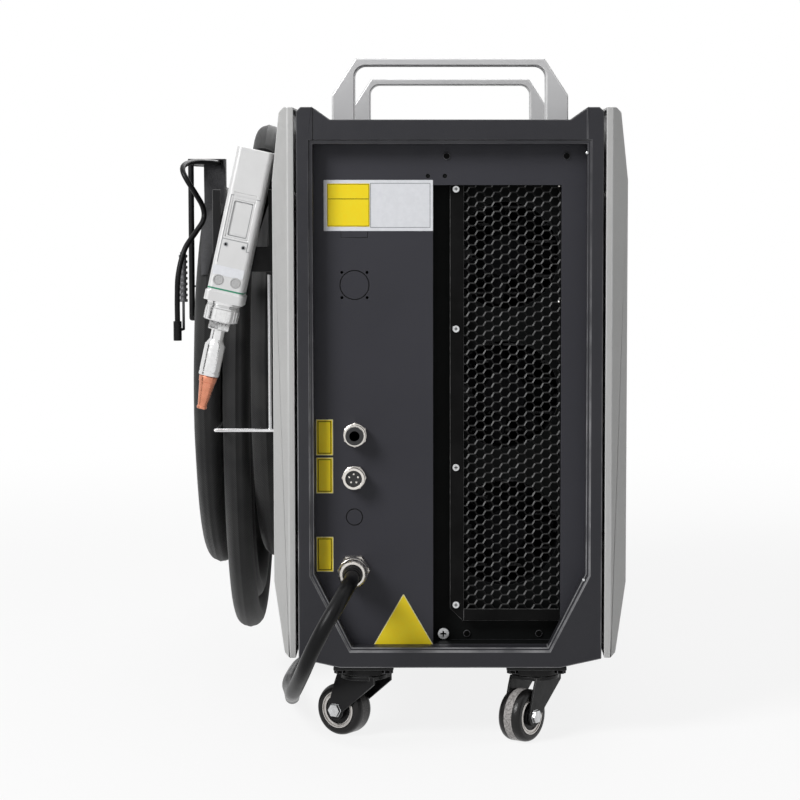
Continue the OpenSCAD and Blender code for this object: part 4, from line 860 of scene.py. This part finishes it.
panel_y = 0.018
score_d = 0.0005
score_w = 0.0005
sunk_from = 0.0004
pilot_holes = [placed(turned("pilot_hole", [(0, 0.0019), (0.0018, 0.0019)], 24),
                      along(at(x, panel_y - 0.001, 0.4507), (0, 1, 0)))
               for x in (-0.0174, -0.0040)]
scored = outline("scored_box", at(-0.0864, panel_y - 0.001, 0.4018),
                 at(-0.0650, panel_y + score_d, 0.4080), score_w)
rear_panel = from_cad("rear_panel", "rear_panel_sheet", 0.00015, 2, pilot_holes + [scored])
# Faces sunk behind the panel's face are near-black: painted shade in the score lines and holes.
split(rear_panel, lambda face: face.center.y > rear_y + panel_y + sunk_from)
settled(rear_panel, [panel_coat, sunk_near_black], "panel_black", "cabinet", "rear_panel")


# The labels. Thin printed plates without any lettering: a white one with a yellow field and a
# fine grey outline, three small yellow ones beside the fittings, and a plain yellow triangle.
def label_print(name, colour, shade, shine=0.3):
    """Printed film, with a little unevenness in the ink."""
    mat = finish_of(name, colour, 0.35, shine=shine)
    mottled(mat, shade, 300, 0.6, detail=4)
    return mat


film_t = 0.00025
ink_t = 0.0001


def film(name, x0, z0, x1, z1, layer, mat, slot):
    """A rectangular film on the connector panel, in a layer counted from the panel."""
    back = panel_y - film_t * layer
    piece = bevelled(block(name, at(x0, back - film_t, z0), at(x1, back, z1)), 1, 0.0005, 3)
    return settled(piece, [mat], slot, "cabinet")


def film_line(name, x0, z0, x1, z1, width, layer, mat, slot):
    """A printed outline on a film."""
    back = panel_y - film_t * layer
    line = outline(name, at(x0, back - ink_t, z0), at(x1, back, z1), width)
    return settled(line, [mat], slot, "cabinet")


label_white = label_print("label_white", (0.66, 0.67, 0.70), (0.72, 0.73, 0.76))
label_yellow = label_print("label_yellow", (0.86, 0.65, 0.02), (0.84, 0.68, 0.03), 0.15)
label_grey = label_print("label_grey", (0.16, 0.17, 0.19), (0.20, 0.21, 0.23))
label_black = label_print("label_black", (0.004, 0.004, 0.004), (0.008, 0.008, 0.008), 0.05)
label_pale = label_print("label_pale", (0.70, 0.66, 0.36), (0.76, 0.72, 0.42))
film("label_board", -0.0999, 0.4074, -0.0135, 0.4476, 0, label_white, None)
film("label_field", -0.0972, 0.4108, -0.0636, 0.4448, 1, label_yellow, "stop_yellow")
film_line("label_field_line", -0.0968, 0.4112, -0.0640, 0.4444, 0.0003, 2, label_black,
          "plastic_black")
film_line("label_field_rule", -0.0968, 0.4324, -0.0640, 0.4330, 0.0002, 2, label_black,
          "plastic_black")
film_line("label_board_line", -0.0630, 0.4100, -0.0156, 0.4452, 0.0004, 1, label_grey,
          "module_grey")
for i, (low_z, high_z) in enumerate(((0.2289, 0.2576), (0.1984, 0.2271), (0.1352, 0.1634))):
    film("label_small_%d" % i, -0.1068, low_z, -0.0932, high_z, 0, label_pale, "stop_yellow")
    film("label_small_field_%d" % i, -0.1062, low_z + 0.0006, -0.0938, high_z - 0.0006, 1,
         label_yellow, "stop_yellow")
    film_line("label_small_line_%d" % i, -0.1054, low_z + 0.0014, -0.0946, high_z - 0.0014,
              0.0006, 2, label_black, "plastic_black")
facing_rear = Matrix.Rotation(math.radians(90), 4, "X")
for name, side, layer, mat in (("label_triangle_edge", 0.0488, 0, label_pale),
                               ("label_triangle", 0.0466, 1, label_yellow)):
    bpy.ops.mesh.primitive_cylinder_add(vertices=3, radius=side / math.sqrt(3), depth=film_t)
    triangle = bevelled(named(name), 2, 0.0012, 4)
    middle = at(-0.0373, panel_y - film_t * (layer + 0.5), 0.0893)
    placed(triangle, Matrix.Translation(middle) @ facing_rear)
    settled(triangle, [mat], "stop_yellow", "cabinet")


# The two knock-outs' lines. Circles punched almost through the connector panel. Each is drawn
# as a thin black ring that stands a tenth of a millimetre proud: painted shade for the cut.
def on_rear(name, profile, sides, place, mat, slot, ring=False):
    """A turned piece that points to the rear from a place."""
    piece = placed(turned(name, profile, sides, ring), along(place, (0, -1, 0)))
    return settled(piece, [mat], slot, "cabinet")


line_half_w = 0.0003
line_low, line_high = -0.0003, 0.0001
for name, x, z, ring_r in (("knockout_line_large", -0.0757, 0.3646, 0.0115),
                           ("knockout_line_small", -0.0763, 0.1793, 0.0065)):
    inner, outer = ring_r - line_half_w, ring_r + line_half_w
    profile = [(line_low, inner), (line_high, inner), (line_high, outer), (line_low, outer)]
    on_rear(name, profile, 64, at(x, panel_y, z), label_black, "plastic_black", ring=True)


# The silver side panels. Trays with facetted edges, pressed from sheet, painted silver and
# held on six bushes each.
def silver_paint():
    """Silver paint with fine flakes."""
    mat = finish_of("silver_paint", (0.40, 0.40, 0.395), 0.4, 0.2)
    mottled(mat, (0.46, 0.46, 0.455), 6)
    wear_and_highlight_edges(mat, (0.62, 0.62, 0.62), 0.4, scale=20)
    mottled(mat, (0.62, 0.62, 0.62), 2600, 0.35, detail=1, start=0.5, end=0.8)
    roughened(mat, 300, 0.3, 0.42)
    pitted(mat, 2200, 0.00003)
    return mat


silver = silver_paint()
for node in ("side_panel_left", "side_panel_right"):
    plain(node, node + "_tray", 0.0008, 3, silver, "side_silver")


# The fan bay's grille. A thin punched plate, with staggered hexagons that run out at its top
# and right edges, on a plain border along the left and the bottom.
hex_rise = 0.0076
hex_web = 0.0011
hex_r = hex_rise / math.sqrt(3)
hex_step = hex_r * 1.5
grille_low, grille_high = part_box("fan_grille")
grille_t = 0.0012
border_x = 0.0110
border_z = 0.1036
field_low = Vector((cabinet_x + border_x, grille_low.y, border_z))
field_high = Vector((grille_high.x, grille_low.y + grille_t, grille_high.z))


def hex_cell(name):
    """A hexagonal hole's rim and walls, its faces marked for a painted highlight by where they
    face.
    """
    bpy.ops.mesh.primitive_circle_add(vertices=6, radius=hex_r, fill_type="NGON",
                                      rotation=(0, 0, math.radians(90)))
    cell = named(name)
    bpy.ops.object.transform_apply(location=False, rotation=True, scale=False)
    bpy.ops.object.mode_set(mode="EDIT")
    bpy.ops.mesh.inset(thickness=hex_web / 2, depth=0)
    bpy.ops.mesh.extrude_region_move(TRANSFORM_OT_translate={"value": (0, 0, -grille_t)})
    bpy.ops.mesh.delete(type="FACE")
    bpy.ops.object.mode_set(mode="OBJECT")
    wear_and_highlight = cell.data.attributes.new("wear_and_highlight", "FLOAT", "FACE")
    # Painted highlight: the slanted rims facing one way get the full mark, the level ones a little,
    # the rest and the walls almost none.
    slanted_mark, level_mark, other_mark, wall_mark = 1.0, 0.2, 0.02, 0.06
    for face, mark in zip(cell.data.polygons, wear_and_highlight.data):
        x, y = face.center.xy
        if face.normal.z < 0.5:
            mark.value = wall_mark
        elif x * y < -hex_r ** 2 / 20:
            mark.value = slanted_mark
        else:
            mark.value = level_mark if abs(x) < hex_r / 10 else other_mark
    return cell


columns = []
for start in (0, 1):
    cell = hex_cell("hex_column")
    placed(cell, Matrix.Translation((start * hex_step, start * hex_rise / 2, 0)))
    for count, offset in ((math.ceil((field_high.z - field_low.z) / hex_rise) + 2,
                           (0, hex_rise, 0)),
                          (math.ceil((field_high.x - field_low.x) / hex_step / 2) + 1,
                           (2 * hex_step, 0, 0))):
        modified(cell, "ARRAY", count=count, use_relative_offset=False,
                 use_constant_offset=True, constant_offset_displace=offset)
    columns.append(cell)
field = joined("grille_field", columns)
placed(field, Matrix.Translation((field_low.x, field_low.y, field_low.z - hex_rise / 2))
       @ facing_rear)
chosen(field)
bpy.ops.object.mode_set(mode="EDIT")
bpy.ops.mesh.select_all(action="SELECT")
bpy.ops.mesh.remove_doubles(threshold=2e-5)
for place, normal in ((field_low, (-1, 0, 0)), (field_low, (0, 0, -1)),
                      (field_high, (1, 0, 0)), (field_high, (0, 0, 1))):
    bpy.ops.mesh.select_all(action="SELECT")
    bpy.ops.mesh.bisect(plane_co=place, plane_no=normal, clear_outer=True)
bpy.ops.object.mode_set(mode="OBJECT")


def grille_paint():
    """Near-black coat on the punched plate, with a painted highlight on the cells' slanted rims and
    pale wear on the border's round edges.
    """
    mat = finish_of("grille_paint", (0.003, 0.003, 0.003), 0.5, shine=0.05)
    mottled(mat, (0.009, 0.009, 0.009), 40)
    # Pale grey on the marked faces: painted highlight on the cells, wear on the border's edges.
    wear_and_highlight_edges(mat, (0.22, 0.22, 0.22), 0.9, scale=160)
    roughened(mat, 200, 0.35, 0.5)
    return mat


grille_corner = 0.008
rim_y = grille_low.y + grille_t
left_bar = block("left_bar", grille_low,
                 Vector((field_low.x, rim_y, grille_high.z)))
low_bar = block("low_bar", Vector((field_low.x, grille_low.y, grille_low.z)),
                Vector((grille_high.x, rim_y, field_low.z)))
corner = block("corner", Vector((-grille_corner, -0.01, -grille_corner)),
               Vector((grille_corner, 0.01, grille_corner)) * 0.9)
placed(corner, Matrix.Translation(grille_low) @ Matrix.Rotation(math.radians(45), 4, "Y"))
border = joined("grille_border", [cut_out(left_bar, corner), low_bar])
rounded(border, 0.0002, 1)
grille = joined("grille_plate", [border, field])
settled(grille, [grille_paint()], "panel_black", "cabinet", "fan_grille")
for name, z in (("grille_dot_high", 0.4429), ("grille_dot_low", 0.3510)):
    on_rear(name, [(0, 0.0009), (0.0004, 0.0008), (0.0006, 0.0004)], 16, at(0.0869, 0.0269, z),
            nickel, "nickel")


# The fans behind the grille. Their frames and rotors keep the CAD's shapes, in black
# glass-filled plastic.
def fan_plastic():
    """Black glass-filled plastic."""
    mat = finish_of("fan_plastic", (0.003, 0.003, 0.0035), 0.7, shine=0.04)
    mottled(mat, (0.006, 0.006, 0.0065), 70)
    pitted(mat, 1600, 0.00005)
    return mat


def dressed(mat, *nodes):
    """Gives CAD nodes whose shape is right their finished material."""
    for node in nodes:
        materials = frame["nodes"][node].data.materials
        materials.clear()
        materials.append(mat)


fan_black = fan_plastic()
dressed(fan_black, "fan_frames", "rotor_top", "rotor_middle", "rotor_bottom")


# The lifting handles. Bent silver bars with sloping shoulders and round edges, painted
# lighter than the side panels.
def handle_paint():
    """Light silver paint."""
    mat = finish_of("handle_paint", (0.52, 0.52, 0.53), 0.34, 0.25)
    mottled(mat, (0.58, 0.58, 0.58), 12, detail=4)
    wear_and_highlight_edges(mat, (0.9, 0.9, 0.9), 0.6, scale=18)
    roughened(mat, 250, 0.28, 0.42)
    pitted(mat, 1900, 0.00004)
    return mat


handle_silver = handle_paint()
for node in ("handle_rear", "handle_front"):
    plain(node, node + "_bar", 0.0014, 3, handle_silver, "handle_silver")


# The casters. Pressed black forks and plates, turned steel hubs, dark rubber tyres whose tread
# is paler grey, most on the rear-right wheel, and zinc bolts through the forks.
def black_coat():
    """Black paint on pressed steel, chipped at its edges."""
    mat = finish_of("black_coat", (0.004, 0.004, 0.0045), 0.28, shine=0.2)
    mottled(mat, (0.007, 0.007, 0.0075), 40, detail=5)
    wear_and_highlight_edges(mat, (0.09, 0.09, 0.09), 0.6)
    roughened(mat, 180, 0.3, 0.46)
    pitted(mat, 900, 0.00006, detail=2)
    return mat


def zinc_plate():
    """Zinc plating."""
    mat = finish_of("zinc_plate", (0.66, 0.67, 0.68), 0.3, 1.0)
    mottled(mat, (0.42, 0.42, 0.42), 300, 0.6, detail=5)
    roughened(mat, 700, 0.22, 0.4)
    return mat


def hub_steel():
    """Turned and polished steel."""
    mat = finish_of("hub_steel", (0.58, 0.56, 0.54), 0.25, 1.0)
    mottled(mat, (0.35, 0.33, 0.31), 240, detail=4)
    roughened(mat, 600, 0.18, 0.36)
    return mat


def tyre_rubber():
    """Dark rubber, paler grey on its marked tread."""
    mat = finish_of("tyre_rubber", (0.006, 0.0055, 0.0055), 0.3, shine=0.3)
    patches = ranged(mat, grain(mat, 700, detail=6), 0.45, 0.95, 0.38, 0.6)
    pale_tread = combined(mat.node_tree, "MULTIPLY", marked(mat, "tread"), patches)
    tinted(mat, pale_tread, (0.42, 0.40, 0.39))
    pitted(mat, 700, 0.00015, detail=3)
    return mat


def from_axle(place, start, way):
    """How far a place is along an axle from its start, and how far from its line."""
    out = (place - start).dot(way)
    return abs(out), (place - start - way * out).length


coat = black_coat()
zinc = zinc_plate()
hub_metal = hub_steel()
tyre_skin = tyre_rubber()
wheel_r = 0.021
half_w = 0.010
tread_band = 0.0036
hub_profile = [(-half_w, 0.0076), (-0.0086, 0.0080), (-0.0084, 0.0112), (-0.0094, 0.0116),
               (-0.0096, 0.0126), (-0.0090, 0.0130), (-0.0090, 0.0136), (-0.0098, 0.0140),
               (-0.0098, 0.0149), (-0.0080, 0.0151)]
hub_profile += [(-z, r) for z, r in reversed(hub_profile)]
tyre_profile = [(-0.0080, 0.0150), (-0.0094, 0.0151), (-half_w, 0.0158), (-half_w, 0.0178),
                (-0.0096, 0.0190), (-0.0086, 0.0200), (-0.0072, 0.0207), (-0.0055, wheel_r),
                (-tread_band, wheel_r)]
tyre_profile += [(-z, r) for z, r in reversed(tyre_profile)]
joints = {joint["name"]: joint for joint in frame["joints"]}
bolt_r = 0.0058
bolt_h = 0.0036
bolt_face = 0.0001
hub_core_r = 0.0112
for corner in ("rl", "rr", "fl", "fr"):
    axle = joints["wheel_turn_" + corner]
    axle_at = Vector(axle["pos_m"])
    axle_way = Vector(axle["axis"])
    wheel_place = along(axle_at, axle_way)
    hub = turned("hub_" + corner, hub_profile, 64)
    split(hub, lambda face: face.center.xy.length < hub_core_r)
    settled(placed(hub, wheel_place), [hub_metal, coat], "hub_silver", "roller_" + corner,
            "wheel_" + corner)
    tyre = turned("rubber_" + corner, tyre_profile, 72, ring=True)
    pale_share = 1.0 if corner == "rr" else 0.2
    tread = tyre.data.attributes.new("tread", "FLOAT", "FACE")
    tread.data.foreach_set("value", [
        pale_share * (abs(face.center.z) < tread_band) for face in tyre.data.polygons])
    settled(placed(tyre, wheel_place), [tyre_skin], "tyre_black", "roller_" + corner,
            "tyre_" + corner)
    fork = from_cad("fork_" + corner, "swivel_fork_" + corner, 0.0004)
    spots = [from_axle(point.co, axle_at, axle_way) for point in fork.data.vertices]
    reach = max(out for out, aside in spots if aside < bolt_r)
    split(fork, lambda face: from_axle(face.center, axle_at, axle_way)[0] > reach - bolt_h
          and from_axle(face.center, axle_at, axle_way)[1] < bolt_r and face.area < bolt_face)
    settled(fork, [coat, zinc], "caster_black", "swivel_" + corner, "fork_" + corner)
plain("caster_plates", "caster_mounts", 0.0005, 2, coat, "caster_black")


# The screws. Zinc-plated ones with a cross recess hold the grille and the bay, and black ones
# hold the floor of the bay, the panel and the caster plates.
def screw_cross(name, spot, size):
    """A flat black cross on a rear-facing screw's head, painted shade standing for its cross
    recess.
    """
    arms = [block(name, spot - Vector((w, 0.00012, h)), spot + Vector((w, 0.0001, h)))
            for w, h in ((size, size / 4), (size / 4, size))]
    return settled(joined(name, arms), [blackened], "plastic_black", "cabinet")


def dark_screw():
    """Blackened steel, matt on its face, with a painted highlight on its rounded rim."""
    mat = finish_of("dark_screw", (0.001, 0.001, 0.001), 0.3, shine=0.04)
    mottled(mat, (0.003, 0.003, 0.003), 300, 0.6)
    # The pale rim is a painted highlight.
    wear_and_highlight_edges(mat, (0.20, 0.20, 0.21), 0.7, scale=250)
    return mat


grille_screw_face = 0.0254
screws = from_cad("panel_screws", "case_screws", 0.0004)
bright_reach_x, bright_low_z, bright_high_z = 0.008, 0.07, 0.45
split(screws, lambda face: abs(face.center.x - cabinet_x) > bright_reach_x
      or not bright_low_z <= face.center.z <= bright_high_z)
blackened = dark_screw()
settled(screws, [zinc, blackened], "zinc", "cabinet", "panel_screws")
floor_screw_x = cabinet_x - 0.0054
floor_screw_z = 0.0819
floor_screw_y = min(face.center.y for face in screws.data.polygons
                    if abs(face.center.x - floor_screw_x) < 0.001
                    and abs(face.center.z - floor_screw_z) < 0.001 and face.normal.y < -0.9)
for number, z in enumerate((0.4405, 0.3293, 0.2182, 0.1070)):
    screw_cross("grille_screw_cross_%d" % number, at(0.0048, grille_screw_face, z), 0.0014)
screw_cross("floor_screw_cross", Vector((floor_screw_x, floor_screw_y, floor_screw_z)), 0.0024)
for name, x, z in (("panel_dot_high", 0.1073, 0.4688), ("panel_dot_low", 0.1061, 0.1313)):
    on_rear(name, [(0, 0.0013), (0.0005, 0.0011), (0.0008, 0.0005)], 16, at(x, 0.001, z),
            zinc, "zinc")


# The connectors. On the rear panel are the gas fitting with its collet, the five-pin socket
# and the cable gland, in nickel-plated brass. The hose's gland at the control end is black.
def collet_plastic():
    """Black acetal."""
    mat = finish_of("collet_plastic", (0.010, 0.010, 0.011), 0.3)
    roughened(mat, 300, 0.25, 0.4)
    return mat


for node in ("gas_fitting", "signal_socket"):
    plain(node, node + "_brass", 0.0005, 2, nickel, "nickel")
acetal = collet_plastic()
on_rear("socket_insert", [(0, 0.0064), (0.0052, 0.0064), (0.0055, 0.0060)], 40,
        at(-0.0764, 0.0127, 0.2114), acetal, "plastic_black")
gland_seat = along(at(-0.0769, panel_y, 0.1370), (0, -1, 0))
gland_nut = turned("gland_nut", [(-0.0100, 0.0100), (0, 0.0100), (0, 0.0130), (0.0080, 0.0130),
                                 (0.0090, 0.0119), (0.0090, 0.0112)], 6)
gland_dome = turned("gland_dome", [(0.0085, 0.0112), (0.0090, 0.0116), (0.0200, 0.0116),
                                   (0.0204, 0.0110), (0.0212, 0.0110), (0.0216, 0.0116),
                                   (0.0245, 0.0114), (0.0268, 0.0106), (0.0279, 0.0095),
                                   (0.0280, 0.0082), (0.0262, 0.0078)], 64)
gland_seal = turned("gland_seal", [(0.0255, 0.0078), (0.0300, 0.0076), (0.0306, 0.0071),
                                   (0.0340, 0.0071), (0.0346, 0.0075), (0.0380, 0.0073),
                                   (0.0386, 0.0069), (0.0435, 0.0068), (0.0440, 0.0064)], 48)
placed(gland_nut, gland_seat @ Matrix.Rotation(math.radians(30), 4, "Z"))
gland_body = joined("gland_body", [gland_nut, placed(gland_dome, gland_seat)])
settled(gland_body, [nickel], "nickel", "cabinet", "power_gland")
settled(placed(gland_seal, gland_seat), [rubber], "cable_black", "cabinet", "power_gland")
plain("gas_collet", "collet_ring", 0.0003, 2, acetal, "plastic_black", "collet")
plain("hose_gland", "hose_gland_body", 0.0005, 2, fan_black, "plastic_black")


# The gun. An anodised aluminium head, a steel nozzle tube with its ring nut, a copper tip and
# a black moulded grip with a red trigger.
def anodised():
    """Natural anodised aluminium."""
    mat = finish_of("anodised", (0.60, 0.60, 0.60), 0.34, 0.35)
    mottled(mat, (0.66, 0.66, 0.66), 50, 0.4, detail=4)
    wear_and_highlight_edges(mat, (0.9, 0.9, 0.9), 0.5, scale=60)
    roughened(mat, 500, 0.3, 0.44)
    pitted(mat, 2600, 0.00003)
    return mat


def turned_steel():
    """Polished turned steel, with its fine rings."""
    mat = finish_of("turned_steel", (0.80, 0.80, 0.80), 0.2, 1.0)
    mottled(mat, (0.66, 0.66, 0.66), 300, 0.4, detail=4)
    roughened(mat, 500, 0.12, 0.26)
    return mat


def copper_metal():
    """Turned copper, browned by heat."""
    mat = finish_of("copper_metal", (0.74, 0.30, 0.19), 0.3, 1.0)
    mottled(mat, (0.55, 0.22, 0.13), 180, 0.6, detail=5)
    roughened(mat, 500, 0.2, 0.4)
    return mat


def stripe_green():
    """Green paint in the gun's ring."""
    mat = finish_of("stripe_green", (0.010, 0.19, 0.10), 0.4)
    mottled(mat, (0.015, 0.25, 0.13), 120, 0.4)
    return mat


def module_paint():
    """Grey paint, on the closed modules and the gun's round pads."""
    mat = finish_of("module_paint", (0.26, 0.27, 0.28), 0.45, 0.3)
    mottled(mat, (0.32, 0.33, 0.34), 30, 0.4)
    pitted(mat, 900, 0.00005)
    return mat


def red_moulding():
    """Red moulded plastic."""
    mat = finish_of("red_moulding", (0.45, 0.010, 0.012), 0.35)
    mottled(mat, (0.55, 0.02, 0.02), 60, 0.4)
    pitted(mat, 1500, 0.00004)
    return mat


def gun_box(name, x0, z0, x1, z1, front, back, radius=0, axis=1):
    """A box in the gun's own frame, whose Z runs up the gun, from its rear face inward."""
    box = block(name, Vector((x0, face_y + front, z0)), Vector((x1, face_y + back, z1)))
    return bevelled(box, axis, radius, 5) if radius else box


def groove(x0, z0, x1, z1):
    """A cutter for one of the fine grooves in the gun's head."""
    return placed(gun_box("groove", x0, z0, x1, z1, -groove_d, groove_d), gun_place)


gun_lean = math.radians(12.5)
gun_place = Matrix.Translation(at(-0.1672, 0, 0.411)) @ Matrix.Rotation(gun_lean, 4, "Y")
gun_metal = anodised()
module_grey = module_paint()
pad_grey = finish_of("pad_grey", (0.36, 0.36, 0.36), 0.5)
mottled(pad_grey, (0.48, 0.48, 0.48), 500, 0.6, detail=4)
red = red_moulding()
face_y = 0.020
groove_w = 0.0006
groove_d = 0.0005
head_grooves = [groove(*sides) for sides in (
    (-0.0112, 0.0230, 0.0150, 0.0230 + groove_w), (-0.0112, -0.0121, 0.0096, -0.0121 + groove_w),
    (0.0096, -0.0190, 0.0096 + groove_w, -0.0117), (0.0096, -0.0190, 0.0150, -0.0190 + groove_w),
    (-0.0112, -0.0310, -0.0112 + groove_w, 0.0234))]
gun_head = from_cad("gun_body", "gun_head", 0.0005)
cut_out(gun_head, *head_grooves)
# The grooves' floors take the grey module paint: painted shade in the grooves.
split(gun_head, lambda face: abs(face.center.y - rear_y - face_y - groove_d) < groove_d / 5
      and face.normal.y < -0.99)
settled(gun_head, [gun_metal, module_grey], "gun_silver", "gun", "gun_body")
window_fill = placed(gun_box("window_fill", -0.0090, 0.0208, 0.0090, 0.0260, 0, 0.0012), gun_place)
settled(cut_out(window_fill, groove(-0.0112, 0.0230, 0.0150, 0.0230 + groove_w)), [gun_metal],
        "gun_silver", "gun")
window_frame = gun_box("window_frame", -0.0089, -0.0099, 0.0089, 0.0207, 0.0004, 0.0012, 0.0016)
window_hole = gun_box("window_hole", -0.0072, -0.0082, 0.0072, 0.0190, -0.001, 0.003, 0.0012)
window_frame = rounded(cut_out(window_frame, window_hole), 0.00015)
settled(placed(window_frame, gun_place), [gun_metal], "gun_silver", "gun")
# A grey ring between the window's frame and its pane: painted shade along the window's edge.
window_line = gun_box("window_line", -0.0076, -0.0086, 0.0076, 0.0194, 0.0004, 0.0009, 0.0012)
window_pane = gun_box("window_pane", -0.0071, -0.0081, 0.0071, 0.0189, -0.001, 0.003, 0.0010)
settled(placed(cut_out(window_line, window_pane), gun_place), [module_grey], "module_grey", "gun")
for name, x in (("gun_screw_left", -0.0072), ("gun_screw_right", 0.0069)):
    head = turned(name, [(0, 0.0017), (0.0005, 0.0017), (0.0008, 0.0014), (0.0008, 0.0010),
                         (0.0004, 0.0009)], 24)
    seat = gun_place @ along(Vector((x, face_y + 0.0001, -0.0160)), (0, -1, 0))
    # The sunk centre of each head is black: painted shade in its recess.
    split(head, lambda face: face.center.xy.length < 0.0010)
    settled(placed(head, seat), [module_grey, blackened], "zinc", "gun")
gun_label = gun_box("gun_label", -0.0130, -0.0410, 0.0118, -0.0334, -0.0003, 0, 0.0012)
settled(placed(gun_label, gun_place), [label_white], None, "gun")
for name, x in (("gun_button_left", -0.0073), ("gun_button_right", 0.0066)):
    disc = turned(name, [(0, 0.0043), (0.0005, 0.0043), (0.0007, 0.0040), (0.0007, 0.0034),
                         (0.0003, 0.0031)], 32)
    seat = gun_place @ along(Vector((x, face_y + 0.0001, -0.0447)), (0, -1, 0))
    settled(placed(disc, seat), [pad_grey], "module_grey", "gun")
gun_half_w = 0.0146
stripe = gun_box("gun_stripe", -gun_half_w, -0.0525, gun_half_w, -0.0513, -0.0001, 0.0351, 0.004, 2)
settled(placed(stripe, gun_place), [stripe_green()], "board_green", "gun")


def knurled(piece, low, high, sides, depth):
    """Sinks every third face of a turned piece's band between two heights."""

    def sinks(face):
        """Tells whether a face lies in the band and is a third one."""
        number = int((math.atan2(face.center.y, face.center.x) / math.tau % 1) * sides)
        return low < face.center.z < high and abs(face.normal.z) < 0.5 and number % 3 == 0

    edit_where(piece, "FACE", sinks)
    bpy.ops.mesh.extrude_region_shrink_fatten(
        TRANSFORM_OT_shrink_fatten={"value": -depth, "use_even_offset": False})
    bpy.ops.object.mode_set(mode="OBJECT")
    return piece


gun_low = -0.062
gun_mid = 0.0375
nut_sides = 72
ring_nut = knurled(turned("gun_ring_nut", [
    (-0.0160, 0.0118), (-0.0158, 0.0132), (-0.0150, 0.0140), (-0.0060, 0.0140),
    (-0.0054, 0.0134), (-0.0046, 0.0134), (-0.0040, 0.0128), (-0.0034, 0.0134),
    (-0.0028, 0.0128), (-0.0022, 0.0134), (-0.0014, 0.0134), (0.0000, 0.0134)], nut_sides),
    -0.0150, -0.0060, nut_sides, 0.0005)
hex_collar = turned("gun_hex_collar", [(-0.0070, 0.0088), (-0.0062, 0.0095), (-0.0008, 0.0095),
                                       (0.0001, 0.0090)], 6)
thin_tube = turned("gun_thin_tube", [(-0.0081, 0.0055), (0.0001, 0.0055)], 40)
barrel = turned("gun_shroud", [
    (-0.0300, 0.0074), (-0.0296, 0.0080), (-0.0288, 0.0083), (-0.0270, 0.0083),
    (-0.0266, 0.0080), (-0.0258, 0.0080), (-0.0254, 0.0083), (-0.0045, 0.0083),
    (-0.0008, 0.0060), (0.0000, 0.0057)], 48)
drop = gun_low
tube_pieces = []
for piece, height in ((ring_nut, 0.016), (hex_collar, 0.007), (thin_tube, 0.008),
                      (barrel, 0.030)):
    tube_pieces.append(placed(piece, gun_place @ Matrix.Translation((0, gun_mid, drop))))
    drop -= height
settled(joined("gun_barrel", tube_pieces), [turned_steel()], "gun_silver", "gun", "gun_tube")
tip = turned("gun_tip", [
    (-0.0270, 0.0014), (-0.0270, 0.0036), (-0.0266, 0.0041), (-0.0250, 0.0042),
    (-0.0244, 0.0037), (-0.0236, 0.0038), (-0.0052, 0.0065), (-0.0048, 0.0070),
    (-0.0008, 0.0074), (-0.0004, 0.0072), (0.0000, 0.0066)], 48)
placed(tip, gun_place @ Matrix.Translation((0, gun_mid, drop)))
settled(tip, [copper_metal()], "copper", "gun", "gun_nozzle")
grip = from_cad("gun_grip", "gun_handle", 0.0002)
grip_way = Vector((-0.121, -0.829, -0.546)).normalized()
grip_back_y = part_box("gun_grip")[0].y
end_band = 0.002
grip_end = max(point.co.dot(grip_way) for point in grip.data.vertices) - end_band
for point in grip.data.vertices:
    if point.co.dot(grip_way) > grip_end:
        point.co += grip_way * max(0, (grip_back_y - point.co.y) / grip_way.y)
settled(grip, [fan_black], "plastic_black", "gun", "gun_grip")
plain("gun_trigger", "gun_lever", 0.0004, 2, red, "stop_red", "trigger")


# The hook, the wire keeper and the gun holder on the left side panel. A rod and a folded
# plate in black paint, and a bent wire in chrome.
def chrome_wire():
    """Bright chromed wire."""
    mat = finish_of("chrome_wire", (0.78, 0.78, 0.79), 0.16, 1.0)
    roughened(mat, 400, 0.1, 0.26)
    return mat


plain("hose_hook", "hose_hook_rod", 0.0004, 2, coat, "caster_black")
plain("hose_keeper", "hose_keeper_wire", 0.0003, 2, chrome_wire(), "nickel")
plain("gun_holder", "gun_holder_plate", 0.0005, 2, coat, "panel_black")


# The control end. A dark screen in its bezel, the emergency stop on its yellow collar, and
# the key in its switch.
def screen_glass():
    """Dark glass over a display that is off."""
    mat = finish_of("screen_glass", (0.010, 0.013, 0.018), 0.08)
    roughened(mat, 30, 0.05, 0.16, detail=6)
    return mat


def yellow_moulding():
    """Yellow moulded plastic."""
    mat = finish_of("yellow_moulding", (0.78, 0.52, 0.015), 0.4)
    mottled(mat, (0.86, 0.60, 0.02), 60, 0.4)
    pitted(mat, 1500, 0.00004)
    return mat


yellow = yellow_moulding()
for node, name, mat, slot, body in (
        ("screen_bezel", "screen_frame", fan_black, "plastic_black", "cabinet"),
        ("touch_screen", "screen_panel", screen_glass(), "glass_dark", "cabinet"),
        ("stop_collar", "stop_base", yellow, "stop_yellow", "cabinet"),
        ("stop_button", "stop_knob", red, "stop_red", "stop"),
        ("key_switch", "key_lock", zinc, "zinc", "cabinet"),
        ("key", "key_blade", nickel, "nickel", "key_body")):
    plain(node, name, 0.0006, 3, mat, slot, body)


# The inside. The laser module on its finned heat sink, the power supply and the control
# board keep the CAD's shapes.
def sink_metal():
    """Dark anodised aluminium, drawn along the fins."""
    mat = finish_of("sink_metal", (0.030, 0.030, 0.032), 0.45, 0.6)
    roughened(mat, 500, 0.28, 0.5, stretch=(1, 0.03, 1))
    return mat


def board_green():
    """Green solder mask with its copper tracks faintly showing."""
    mat = finish_of("board_green", (0.012, 0.13, 0.045), 0.35)
    tinted(mat, ranged(mat, grain(mat, 260, stretch=(1, 0.2, 1)), 0, 0.6), (0.02, 0.20, 0.07))
    return mat


dressed(module_grey, "laser_module", "power_supply")
dressed(sink_metal(), "heat_sink")
dressed(board_green(), "control_board")
